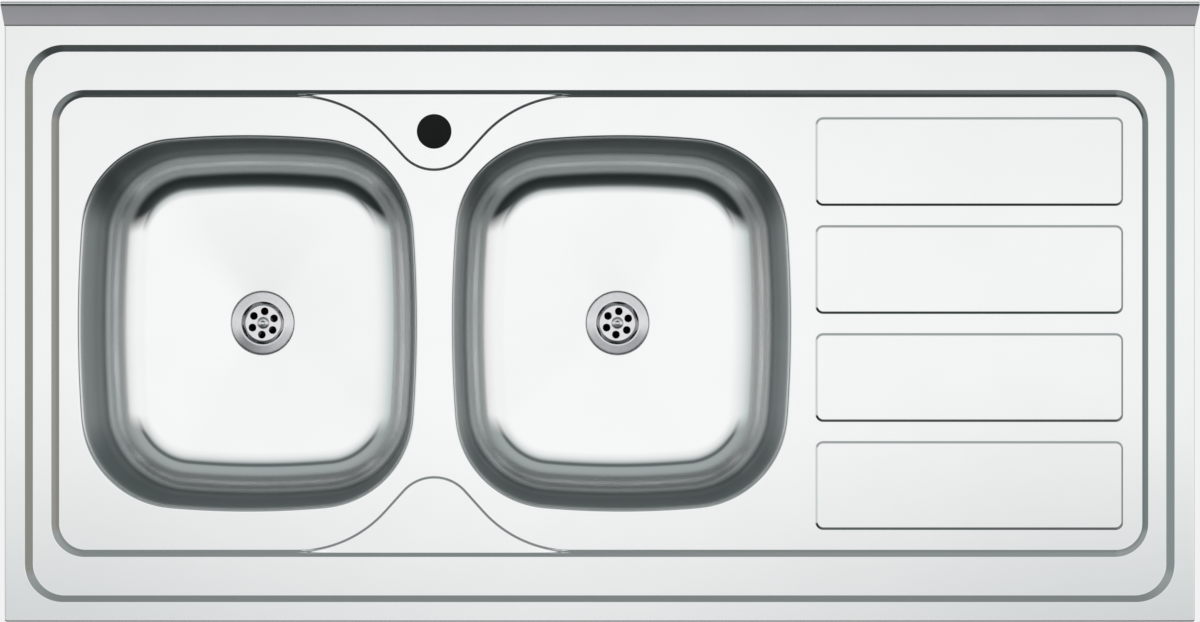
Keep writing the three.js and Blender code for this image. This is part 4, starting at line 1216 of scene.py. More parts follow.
@dataclass
class Bowl:
    """A deep drawn bowl from its flange to the conical seat of its waste, and its damping pad."""

    width: float = 345.2
    length: float = 381.0
    depth: float = 150.0
    sheet: float = 0.7
    side_bow: float = 1300.0
    end_bow: float = 880.0
    corner: float = 100.0
    roll: float = 3.0
    draft: float = 4.0
    floor_radius: float = 43.0
    flange: float = 4.0
    flange_guard: float = 0.3  # a flat strip outside the roll
    floor_fall: float = 4.0
    floor_shares: tuple[float, ...] = (0.02, 0.25, 0.5, 0.75, 0.97)  # of the way to the seat
    seat_radius: float = 34.5
    seat_ramp: float = 2.0
    seat_depth: float = 2.2
    seat_angle: float = 10.0
    seat_bend: float = 0.7
    seat_guard: float = 1.0  # a straight strip inside the seat's bend
    waste_hole: float = 52.0
    pad_thickness: float = 2.5
    pad_gap: float = 0.3
    pad_shares: tuple[float, ...] = (0.12, 0.14, 0.32, 0.52, 0.7, 0.72)  # of the way to the seat
    pad_edge: float = 0.7  # how much thinner the pad is at its edges
    bow_chords: int = 14
    corner_chords: int = 22
    roll_chords: int = 10
    wall_chords: int = 8
    foot_chords: int = 18
    seat_chords: int = 5

    def __post_init__(self) -> None:
        """Works out the seat's edge, its slope and its level under the work surface."""
        self.seat_edge = self.seat_radius - self.seat_ramp
        self.seat_slope = math.tan(math.radians(self.seat_angle))
        self.seat_level = -self.depth - self.floor_fall - self.seat_depth

    def outline(self, inset: float) -> Path:
        """Draws the bowed rim: the bows of its sides and ends, and the corners that touch both.

        Args:
            inset: How far it is moved inwards.

        Returns:
            The points anticlockwise from the right side's front end.
        """
        side_x, end_y = self.width / 2 - self.side_bow, self.length / 2 - self.end_bow
        reach_side, reach_end = self.side_bow - self.corner, self.end_bow - self.corner
        gap = math.hypot(side_x, end_y)
        along = (reach_side**2 - reach_end**2 + gap**2) / (2 * gap)
        aside = math.sqrt(reach_side**2 - along**2)
        way = Vector((-side_x, end_y)) / gap
        foot = Vector((side_x, 0)) + way * along
        offset = Vector((-way.y, way.x)) * aside
        centre = max(foot + offset, foot - offset, key=sum)
        low = math.degrees(math.atan2(centre.y, centre.x - side_x))
        high = math.degrees(math.atan2(centre.y - end_y, centre.x))
        side = arc(side_x, 0, self.side_bow - inset, -low, low, self.bow_chords)[1:-1]
        turn = arc(centre.x, centre.y, self.corner - inset, low, high, self.corner_chords)
        end = arc(0, end_y, self.end_bow - inset, high, 180 - high, self.bow_chords)[1:-1]
        rear = [*turn, *end, *self.mirrored(turn, -1, 1)]
        return [*side, *rear, *self.mirrored(side, -1, 1), *self.mirrored(rear, 1, -1)]

    def mirrored(self, part: Path, x: int, y: int) -> Path:
        """A part of the outline with its sides or ends swapped by signs, still anticlockwise."""
        return [point * Vector((x, y, 1)) for point in reversed(part)]

    def section(self) -> Profile:
        """Draws the wall's section.

        Returns:
            The inset and the height of each point, from the flange to the foot of the wall.
        """
        steep, floor = math.radians(90 - self.draft), self.floor_radius
        roll = [steep * i / self.roll_chords for i in range(self.roll_chords + 1)]
        made = [(-self.flange, 0.0), (-self.flange_guard, 0.0)]
        made += [(self.roll * math.sin(a), self.roll * (math.cos(a) - 1)) for a in roll]
        start = Vector(made[-1])
        wall_end = floor * (1 - math.cos(steep)) - self.depth
        floor_inset = start.x + (start.y - wall_end) / math.tan(steep) + floor * math.sin(steep)
        sweep = [steep * (1 - i / self.foot_chords) for i in range(self.foot_chords + 1)]
        foot = [
            (floor_inset - floor * math.sin(a), floor * (1 - math.cos(a)) - self.depth) for a in sweep
        ]
        end = Vector(foot[0])
        wall = [tuple(start.lerp(end, i / self.wall_chords)) for i in range(1, self.wall_chords)]
        return made + wall + foot

    def floor_outline(self, share: float) -> Path:
        """The floor's outline part of the way from the foot of the walls to the round seat."""
        foot = self.outline(self.section()[-1][0])
        return between(foot, [p.normalized() * self.seat_radius for p in foot], share)

    def floor_level(self, share: float) -> float:
        """The floor's height at a share of the way to the waste."""
        return -self.depth - self.floor_fall * share

    def cone_level(self, radius: float) -> float:
        """The conical seat's height at a radius, over its outer edge."""
        return (radius - self.seat_edge) * self.seat_slope

    def build(self, shop: Workshop, side: str, at: Vector) -> None:
        """Draws the bowl's sheet and its damping pad and delivers both.

        Args:
            shop: The workshop.
            side: Left or right, as in the nodes' names.
            at: The bowl's middle at the level of the work surface.
        """
        rows = [at_height(self.outline(inset), height) for inset, height in self.section()]
        rows += [at_height(self.floor_outline(s), self.floor_level(s)) for s in self.floor_shares]
        spokes = [p.normalized() for p in self.floor_outline(1)]
        bend = press_profile(self.seat_ramp, self.seat_depth, self.seat_bend, self.seat_chords)
        seat = [
            (self.seat_radius - self.seat_ramp * plan, self.floor_level(1) - self.seat_depth * share)
            for plan, share in bend
        ]
        for radius in (self.seat_edge - self.seat_guard, self.waste_hole / 2):
            seat.append((radius, self.seat_level + self.cone_level(radius)))
        rows += [at_height([spoke * radius for spoke in spokes], level) for radius, level in seat]
        drawing = Sheet()
        drawing.draw(rows)
        shop.deliver(f"{side}_bowl_shell", drawing.thicken(self.sheet), DRAWN_STEEL, f"{side}_bowl", at)
        shop.deliver(f"{side}_damping_sheet", self.pad(), BITUMEN, f"{side}_bowl_damping_pad", at)

    def pad(self) -> Sheet:
        """Draws the damping sheet under the floor, with its edges pressed thinner all round.

        Returns:
            The closed skin.
        """
        top = -self.sheet - self.pad_gap
        upper = [at_height(self.floor_outline(s), self.floor_level(s) + top) for s in self.pad_shares]
        lower = [shifted(row, z=-self.pad_thickness) for row in reversed(upper)]
        lower[0], lower[-1] = shifted(lower[0], z=self.pad_edge), shifted(lower[-1], z=self.pad_edge)
        return Sheet().draw_round(upper + lower)


# ---- Wastes ------------------------------------------------------------------------------------------


@dataclass(frozen=True)
class Thread:
    """A helical thread, cut into a shaft or, where its depth is below 0, into a bore."""

    pitch: float
    depth: float
    flat: float = 0.15  # the share of a flank that is cut off at the crest, and at the root
    steps: int = 8  # rows in a turn

    def rows(self, radius: float, top: float, foot: float, chords: int) -> list[Path]:
        """Draws the thread from its top down, fading in and out over a turn.

        Args:
            radius: The radius of the shaft or the bore.
            top: The upper level.
            foot: The lower level.
            chords: How many vertices a row has.

        Returns:
            One closed outline for each row.
        """
        count = math.ceil((top - foot) / self.pitch * self.steps)
        rows = []
        for i in range(count + 1):
            level = top + (foot - top) * i / count
            fade = smooth((top - level) / self.pitch) * smooth((level - foot) / self.pitch)
            row = []
            for ray in circle(0, 0, 1, chords):
                turn = (level / self.pitch - math.atan2(ray.y, ray.x) / math.tau) % 1
                wave = abs(2 * turn - 1) * (1 + 2 * self.flat) - self.flat
                row.append(ray * (radius - self.depth * fade * min(1.0, max(0.0, wave))))
            rows.append(at_height(row, level))
        return rows


@dataclass
class Waste:
    """A strainer waste: strainer, screw, seal, washer, body and insert, from the seat's outer edge."""

    shop: Workshop
    bowl: Bowl
    fit: float = 0.15
    clearance: float = 0.3
    seal: float = 1.5
    seal_edge: float = 0.35  # how far its edges are cut back, as for the other edges below
    washer_edge: float = 0.45
    sheet: float = 0.8
    flange: float = 66.0
    flange_fall: float = 1.4  # from the flange's crest to its rim
    flange_rows: int = 6
    # The flange's rim from below: how far in and how far down, in thicknesses of the sheet.
    rim: Curve = ((0, 1), (0, 0.4), (0.15, 0.1))
    rim_bend: float = 0.6  # where the flange's face starts inside its rim, in thicknesses too
    recess: float = 45.0
    plate: float = 38.0
    depth: float = 7.0
    brow: float = 0.6  # how far under the crest the steep wall starts
    wall_bend: tuple[float, float] = (0.25, 0.35)  # how far the wall's bends reach out and up
    wall_rows: int = 4
    # From the wall to the plate, and from the plate into a hole: how far in and up, and out and down.
    toe: Curve = ((0, 0.1), (0.3, 0), (0.9, 0))
    lip: Curve = ((0.45, 0), (0.3, 0), (0.1, 0.06), (0, 0.22))
    hole: float = 8.0
    holes: int = 6
    hole_circle: float = 25.0
    hole_turn: float = 23.0
    body_flange: float = 64.0
    body_flange_height: float = 4.0
    body_wall: float = 3.6
    body_edge: float = 0.5
    bore_edge: float = 0.4
    fillet: tuple[float, float] = (1.2, 0.35)  # under the flange: its reach, and its middle's
    cup: float = 26.0
    cup_bend: tuple[float, float] = (0.25, 0.8)  # how far in and up the cup's outer bend reaches
    cone_height: float = 5.0
    cone_bend: tuple[float, float] = (0.2, 0.4)  # how far out and up the outlet's bend reaches
    outlet: float = 47.8
    outlet_wall: float = 3.4
    outlet_length: float = 30.0
    outlet_collar: float = 2.0  # without thread, under the cone
    outlet_lead: float = 0.8  # how far the outlet's end is cut back
    outlet_thread: Thread = Thread(2.309, 1.2)
    screw: float = 6.0
    screw_head: float = 13.0
    screw_head_height: float = 2.6
    screw_head_rim: float = 0.8
    screw_head_edge: tuple[float, float] = (0.2, 0.25)  # how far in and up the edge below is broken
    screw_neck: float = 0.4
    screw_beyond: float = 2.0
    screw_point: tuple[float, float] = (0.9, 0.6)  # how far in and up the end is pointed
    screw_thread: Thread = Thread(1.0, 0.5)
    crown_flat: float = 0.45  # of the head's radius, where the dome starts
    dome_chords: int = 12
    socket: float = 4.0
    socket_depth: float = 2.2
    socket_point: tuple[float, float] = (0.5, 0.4)  # its drilled middle: share of its width, depth
    socket_mouth: Curve = ((1, 0.15), (1.06, 0.02))  # share of its width, depth
    insert: float = 10.0
    insert_height: float = 8.0
    insert_edge: float = 0.3
    insert_groove: tuple[float, float, float] = (0.5, 0.4, 0.8)  # depth, half width inside and outside
    insert_thread: Thread = Thread(1.0, -0.4)
    hub_wall: float = 3.4
    hub_floor: float = 2.0
    hub_edge: float = 0.4
    spokes: int = 3
    spoke_width: float = 3.0
    spoke_height: float = 7.0
    spoke_edge: float = 0.6
    chords: int = 96
    small_chords: int = 48
    hole_chords: int = 32

    @property
    def bore(self) -> float:
        """The radius inside the body's cup."""
        return self.recess / 2 + self.sheet + 2 * self.clearance

    def cone(self, radius: float, rise: float) -> tuple[float, float]:
        """A profile point on the cone of the seat, raised by an amount in the drawing."""
        return radius, self.bowl.cone_level(radius) + rise

    def build(self, side: str, x: float) -> None:
        """Draws every piece of one waste at the levels of the frame's solids, and delivers them.

        Args:
            side: Left or right, as in the nodes' names.
            x: The waste's middle across.
        """
        shop = self.shop
        plate = shop.levels(f"{side}_strainer")[0] + self.sheet
        insert = shop.levels(f"{side}_screw_insert")[0]
        body = shop.levels(f"{side}_waste_body")[1]
        low, high = shop.corners(f"{side}_flange_seal")
        seal = (high.x - low.x) / 2, low.z - self.bowl.cone_level(self.bowl.waste_hole / 2)
        washer = shop.levels(f"{side}_body_washer")
        pieces = [
            ("strainer_cup", self.draw_strainer(plate), BUFFED_STEEL, "strainer"),
            ("socket_screw", self.draw_screw(plate + self.fit, insert), BUFFED_STEEL, "strainer_screw"),
            ("cone_seal", self.draw_seal(*seal), RUBBER, "flange_seal"),
            ("taper_washer", self.draw_washer(*washer), RUBBER, "body_washer"),
            ("waste_moulding", self.draw_body(body, insert), PLASTIC, "waste_body"),
            ("threaded_insert", self.draw_insert(insert), BRASS, "screw_insert"),
        ]
        for name, drawing, finish, node in pieces:
            shop.deliver(f"{side}_{name}", drawing, finish, f"{side}_{node}", Vector((x, 0, 0)))

    def draw_strainer(self, plate: float) -> Sheet:
        """Draws the pressed strainer: flange with a rounded rim, steep wall, flat plate with holes.

        Args:
            plate: The level of the plate's upper face.

        Returns:
            The thickened sheet.
        """
        rim, recess, foot, edge = self.flange / 2, self.recess / 2, self.plate / 2, self.sheet
        top = plate + self.depth
        bend_out, bend_up = self.wall_bend
        low = top - self.flange_fall
        outer, inner = rim - self.rim_bend * edge, recess + edge
        across = [outer + (inner - outer) * i / self.flange_rows for i in range(self.flange_rows + 1)]
        fall = self.flange_fall / (rim - recess)
        wall_top = Vector((recess, top - self.brow))
        wall_foot = Vector((foot + bend_out, plate + bend_up))
        profile = [
            *[(rim - inward * edge, low - down * edge) for inward, down in self.rim],
            *[(radius, top - fall * (radius - recess)) for radius in across],
            (recess + bend_out, wall_top.y + bend_up),
            *[tuple(wall_top.lerp(wall_foot, i / self.wall_rows)) for i in range(self.wall_rows + 1)],
            *[(foot - inward, plate + up) for inward, up in self.toe],
        ]
        drawing = Sheet()
        _, last = drawing.draw(ring(radius, level, self.chords) for radius, level in profile)
        reach = self.hole_circle / 2
        turns = [math.radians(self.hole_turn + 360 * i / self.holes) for i in range(self.holes)]
        spots = [(reach * math.cos(a), reach * math.sin(a), self.hole / 2) for a in turns]
        spots.append((0.0, 0.0, self.screw / 2 + self.clearance))
        lips = []
        for x, y, radius in spots:
            lip, _ = drawing.draw(
                at_height(circle(x, y, radius + out, self.hole_chords), plate - down)
                for out, down in self.lip
            )
            lips.append(lip)
        drawing.fill(last, *lips)
        return drawing.thicken(self.sheet)

    def draw_screw(self, base: float, insert: float) -> Sheet:
        """Draws the domed screw with its hexagon socket and its thread.

        Args:
            base: The level of the head's underside.
            insert: The level of the insert's foot.

        Returns:
            The closed skin.
        """
        head, shank, chords = self.screw_head / 2, self.screw / 2, self.small_chords
        crown, brim = base + self.screw_head_height, base + self.screw_head_rim
        hexagon = []
        for ray in circle(0, 0, self.socket / 2, chords):
            off_flat = 30 - abs(math.degrees(math.atan2(ray.y, ray.x)) % 60 - 30)
            hexagon.append(ray / math.cos(math.radians(off_flat)))
        middle, deeper = self.socket_point
        hollow = [(middle, self.socket_depth + deeper), (1, self.socket_depth), *self.socket_mouth]
        rows = [at_height([p * width for p in hexagon], crown - down) for width, down in hollow]
        start = math.degrees(math.asin(self.crown_flat))
        dome = arc(0, 0, 1, 90 - start, 0, self.dome_chords)
        edge_in, edge_up = self.screw_head_edge
        profile = [
            *[(head * point.x, brim + (crown - brim) * point.y) for point in dome],
            (head, base + edge_up),
            (head - edge_in, base),
            (shank + self.screw_neck, base),
            (shank, base - self.screw_neck),
        ]
        rows += [ring(radius, level, chords) for radius, level in profile]
        point_in, point_up = self.screw_point
        end = insert - self.screw_beyond
        thread_top = insert + self.insert_height + self.screw_beyond
        rows += self.screw_thread.rows(shank, thread_top, end + point_up, chords)
        rows.append(ring(shank - point_in, end, chords))
        drawing = Sheet()
        for row in drawing.draw(rows):
            drawing.fill(row)
        return drawing.close()

    def draw_seal(self, outer: float, rise: float) -> Sheet:
        """Draws the conical rubber ring under the strainer's flange.

        Args:
            outer: Its outer radius.
            rise: How far its underside is raised from the seat's cone.

        Returns:
            The closed ring.
        """
        inner = self.bowl.waste_hole / 2 + self.fit
        below = [self.cone(inner, rise), self.cone(outer, rise)]
        above = [self.cone(outer, rise + self.seal), self.cone(inner, rise + self.seal)]
        return turned(eased(below + above, self.seal_edge), self.chords)

    def draw_washer(self, foot: float, high: float) -> Sheet:
        """Draws the tapered rubber washer under the bowl.

        Args:
            foot: The level of its underside.
            high: The level of its highest point.

        Returns:
            The closed ring.
        """
        inner, outer = self.bore + self.fit, self.body_flange / 2 - self.sheet
        rise = high - self.bowl.cone_level(outer)
        corners = [(inner, foot), (outer, foot), self.cone(outer, rise), self.cone(inner, rise)]
        return turned(eased(corners, self.washer_edge), self.chords)

    def draw_body(self, top: float, insert: float) -> Sheet:
        """Draws the moulded body: flanged cup, cone, threaded outlet, and the hub on its spokes.

        Args:
            top: The level of the flange's upper face.
            insert: The level of the insert's foot.

        Returns:
            The closed skins.
        """
        wall, outlet = self.bore + self.body_wall, self.outlet / 2
        flange, bore = self.body_flange / 2, outlet - self.outlet_wall
        under = top - self.body_flange_height
        cup_end = top - self.cup
        cone_end = cup_end - self.cone_height
        foot = cone_end - self.outlet_length
        edge, bore_edge, lead = self.body_edge, self.bore_edge, self.outlet_lead
        reach, middle = self.fillet
        cup_in, cup_up = self.cup_bend
        cone_out, cone_up = self.cone_bend
        outside = [
            (self.bore + bore_edge, top), (flange - edge, top), (flange, top - edge),
            (flange, under + edge), (flange - edge, under), (wall + reach, under),
            (wall + middle, under - middle), (wall, under - reach), (wall, cup_end + cup_up),
            (wall - cup_in, cup_end), (outlet + cone_out, cone_end + cone_up),
            (outlet, cone_end - cone_up),
        ]
        inside = [
            (outlet - lead, foot), (bore + edge, foot), (bore, foot + edge), (bore, cone_end),
            (self.bore, cup_end), (self.bore, top - bore_edge),
        ]
        collar = cone_end - self.outlet_collar
        thread = self.outlet_thread.rows(outlet, collar, foot + lead, self.chords)
        outer, inner = ([ring(*point, self.chords) for point in part] for part in (outside, inside))
        drawing = Sheet().draw_round([*outer, *thread, *inner])
        self.add_hub(drawing, cup_end, insert)
        return drawing

    def add_hub(self, drawing: Sheet, foot: float, insert: float) -> None:
        """Adds the hub and its spokes to the body.

        Args:
            drawing: The body so far.
            foot: The level of the hub's foot.
            insert: The level of the insert's foot.
        """
        pocket = self.insert / 2 + self.clearance
        clear = self.screw / 2 + 2 * self.clearance
        outer = pocket + self.hub_wall
        top, floor = insert + self.insert_height, foot + self.hub_floor
        outside = [(clear, foot), (outer, foot), (outer, top)]
        inside = [(pocket, top), (pocket, floor), (clear, floor)]
        drawing.absorb(turned(eased(outside + inside, self.hub_edge), self.small_chords))
        start, end = pocket + self.hub_wall / 2, self.bore + self.body_wall / 2
        size = Matrix.Diagonal((end - start, self.spoke_width, self.spoke_height, 1))
        middle = Matrix.Translation(((start + end) / 2, 0, foot + self.spoke_height / 2))
        for i in range(self.spokes):
            spoke = Sheet()
            bmesh.ops.create_cube(spoke.mesh, size=1.0, matrix=size)
            along = [e for e in spoke.mesh.edges if abs(e.verts[0].co.x - e.verts[1].co.x) > 1]
            spoke.bevel(along, self.spoke_edge, 3)
            drawing.absorb(spoke, Matrix.Rotation(math.tau * i / self.spokes, 4, "Z") @ middle)

    def draw_insert(self, foot: float) -> Sheet:
        """Draws the brass insert with its thread inside and a groove outside.

        Args:
            foot: The level of its foot.

        Returns:
            The closed skin.
        """
        outer, bore = self.insert / 2, self.screw / 2 + self.clearance
        top, middle = foot + self.insert_height, foot + self.insert_height / 2
        edge, (groove, narrow, wide) = self.insert_edge, self.insert_groove
        outside = [
            (outer - edge, foot), (outer, foot + edge),
            (outer, middle - wide), (outer - groove, middle - narrow),
            (outer - groove, middle + narrow), (outer, middle + wide),
            (outer, top - edge), (outer - edge, top),
        ]
        rows = [ring(radius, level, self.small_chords) for radius, level in outside]
        rows += self.insert_thread.rows(bore, top - edge, foot + edge, self.small_chords)
        return Sheet().draw_round(rows)


# ---- Stiffening and fixing pieces --------------------------------------------------------------------


@dataclass
class Underside:
    """The plate under the tap ledge, the drainer's channels and the brackets on the return flange."""

    shop: Workshop
    top: PressedTop
    plate: float = 3.0
    plate_margin: float = 5.0
    plate_reach: float = 62.0
    plate_hole_play: float = 1.0
    plate_edge: float = 0.4
    plate_corner: float = 3.0
    plate_chords: int = 40
    channel_width: float = 15.0
    channel_height: float = 14.0
    channel_wall: float = 1.0
    channel_bend: float = 2.0
    bracket_sheet: float = 1.5
    bracket_width: float = 30.0
    bracket_drop: float = 46.0
    bracket_bend: float = 3.0
    bracket_corner: float = 5.0
    slot_width: float = 5.5
    slot_length: float = 26.0
    slot_angle: float = 45.0
    slot_chords: int = 10
    bend_chords: int = 6

    def build(self) -> None:
        """Draws and delivers the plate, both channels and the four brackets."""
        node = "tap_hole_stiffener"
        self.shop.deliver("ledge_plate", self.draw_plate(node), ZINC, node)
        for end in ("front", "rear"):
            node = f"drainer_stiffener_{end}"
            self.shop.deliver(f"{end}_channel", self.draw_channel(node), ZINC, node)
            for side, turn in (("left", 1), ("right", -1)):
                node = f"{end}_{side}_bracket"
                self.shop.deliver(f"{end}_{side}_hanger", self.draw_bracket(node, turn), ZINC, node)

    def draw_plate(self, node: str) -> Sheet:
        """Draws the plate under the tap ledge, its edges broken.

        Args:
            node: The node that it stands for.

        Returns:
            The closed skin.
        """
        top, x, corner = self.top, self.top.tap_x, self.plate_corner
        round_radius = top.bell_radius - top.bell_ramp / 2 - self.plate_margin
        turn, sweep = top.bell_sweep, math.radians(top.bell_sweep)
        shoulder_x = round_radius * math.sin(sweep)
        shoulder_y = top.bell_y - round_radius * math.cos(sweep)
        rear = top.ledge_y - self.plate_margin
        wide = min(self.plate_reach, shoulder_x + (rear - shoulder_y) / math.tan(sweep))
        knee = shoulder_y + (wide - shoulder_x) * math.tan(sweep)
        outline = [
            *arc(x, top.bell_y, round_radius, -90 - turn, turn - 90, self.plate_chords),
            Vector((x + wide, knee, 0)),
            *arc(x + wide - corner, rear - corner, corner, 0, 90, self.bend_chords),
            *arc(x - wide + corner, rear - corner, corner, 90, 180, self.bend_chords),
            Vector((x - wide, knee, 0)),
        ]
        hole = circle(x, top.tap_y, top.tap_hole / 2 + self.plate_hole_play, top.hole_chords)
        level = self.shop.levels(node)[1]
        drawing = Sheet()
        drawing.fill(*[drawing.lay(at_height(loop, level)) for loop in (outline, hole)])
        drawing.thicken(self.plate)
        sharp = [e for e in drawing.mesh.edges if e.calc_face_angle(0) > math.radians(60)]
        drawing.bevel(sharp, self.plate_edge, 2)
        return drawing

    def draw_channel(self, node: str) -> Sheet:
        """Draws a folded channel under the drainer, from its section pulled along it.

        Args:
            node: The node that it stands for.

        Returns:
            The thickened sheet.
        """
        low, high = self.shop.corners(node)
        half, bend = self.channel_width / 2, self.channel_bend
        middle = (low.y + high.y) / 2
        fold = arc(half - bend, -bend, bend, 90, 0, self.bend_chords)
        right = [*fold, Vector((half, -self.channel_height, 0))]
        left = [Vector((-p.x, p.y, 0)) for p in reversed(right)]
        ends = ((low.x, high.z - self.top.slope * (high.x - low.x)), (high.x, high.z))
        start, end = ([Vector((x, middle + p.x, web + p.y)) for p in left + right] for x, web in ends)
        drawing = Sheet()
        drawing.pull(drawing.lay(start, closed=False), end, closed=False)
        return drawing.thicken(self.channel_wall)

    def draw_bracket(self, node: str, turn: int) -> Sheet:
        """Draws an angle bracket that lies on the return flange and hangs inside the cabinet's wall.

        Args:
            node: The node that it stands for.
            turn: 1 on the left side, -1 on the right side.

        Returns:
            The thickened sheet.
        """
        low, high = self.shop.corners(node)
        middle = (low.y + high.y) / 2
        outer, inner = (low.x, high.x) if turn > 0 else (high.x, low.x)
        half, bend, corner = self.bracket_width / 2, self.bracket_bend, self.bracket_corner
        fold = arc(high.x - low.x - bend, high.z - bend, bend, 90, 0, self.bend_chords)
        rows = [
            [Vector((outer + turn * reach, middle + y, level)) for y in (-half, half)]
            for reach, level in [(0, high.z), *[(p.x, p.y) for p in fold]]
        ]
        drawing = Sheet()
        row = drawing.pull_all(drawing.lay(rows[0], closed=False), rows[1:], closed=False)
        leg = [
            drawing.mesh.verts.new((inner, middle + side * p.x, p.y))
            for side, start, end in ((-1, 0, -90), (1, -90, 0))
            for p in arc(half - corner, low.z + corner, corner, start, end, self.bend_chords)
        ]
        reach, end_radius = (self.slot_length - self.slot_width) / 2, self.slot_width / 2
        slot = arc(reach, 0, end_radius, -90, 90, self.slot_chords)
        slot += arc(-reach, 0, end_radius, 90, 270, self.slot_chords)
        place = Matrix.Translation((inner, middle, -self.top.skirt - self.bracket_drop / 2))
        place = place @ Matrix.Rotation(math.pi / 2, 4, "Y")
        place = place @ Matrix.Rotation(math.radians(self.slot_angle * turn), 4, "Z")
        hole = drawing.lay([place @ p for p in slot])
        drawing.fill([row[0], *leg, row[1]], hole, normal=Vector((turn, 0, 0)))
        return drawing.thicken(self.bracket_sheet)


# ---- Studio ------------------------------------------------------------------------------------------


class Side(Enum):
    """A side of the room, as seen over the sink."""

    LEFT = "left"
    RIGHT = "right"
    FRONT = "front"
    REAR = "rear"


# What stands on each side of the room, by the sine of its height above the horizon.
SKIES: dict[Side, tuple[tuple[float, str], ...]] = {
    Side.FRONT: (
        (0.0, "#abaaae"), (0.058, "#abaaae"), (0.072, "#3b4040"), (0.25, "#3d4242"),
        (0.33, "#777c7c"), (0.43, "#818686"), (0.5, "#545959"), (0.57, "#313636"),
        (0.66, "#222727"), (0.8, "#2f3434"), (0.86, "#393e3e"), (0.9, "#4b5151"),
        (0.935, "#7b8080"), (0.963, "#c0c5c5"), (0.983, "#d6d9d9"), (0.989, "#dfe1e1"),
        (0.995, "#e7e9e9"), (0.998, "#f5f5f5"), (1.0, "#fefefe"),
    ),
    Side.REAR: (
        (0.0, "#7e8484"), (0.2, "#828888"), (0.39, "#979d9d"), (0.6, "#a3a9a9"),
        (0.74, "#a1a7a7"), (0.79, "#616767"), (0.845, "#616767"), (0.9, "#bec4c4"),
        (0.945, "#dfe2e2"), (0.963, "#eaebeb"), (0.983, "#f2f2f2"), (0.9945, "#f5f5f5"),
        (0.997, "#f9f9f9"), (1.0, "#fefefe"),
    ),
    Side.RIGHT: (
        (0.0, "#86857f"), (0.25, "#8a8983"), (0.44, "#8e8d87"), (0.47, "#e0dfdc"),
        (0.58, "#ebebea"), (0.66, "#f0f0ef"), (0.85, "#f9f9f9"), (0.99, "#fafafa"),
        (1.0, "#fefefe"),
    ),
    Side.LEFT: (
        (0.0, "#687373"), (0.2, "#6e7979"), (0.36, "#778181"), (0.42, "#858f8f"),
        (0.46, "#879191"), (0.485, "#c0c8c8"), (0.67, "#d3d9d9"), (0.8, "#e4e7e7"),
        (0.91, "#f0f1f1"), (0.985, "#f9f9f9"), (1.0, "#fefefe"),
    ),
}


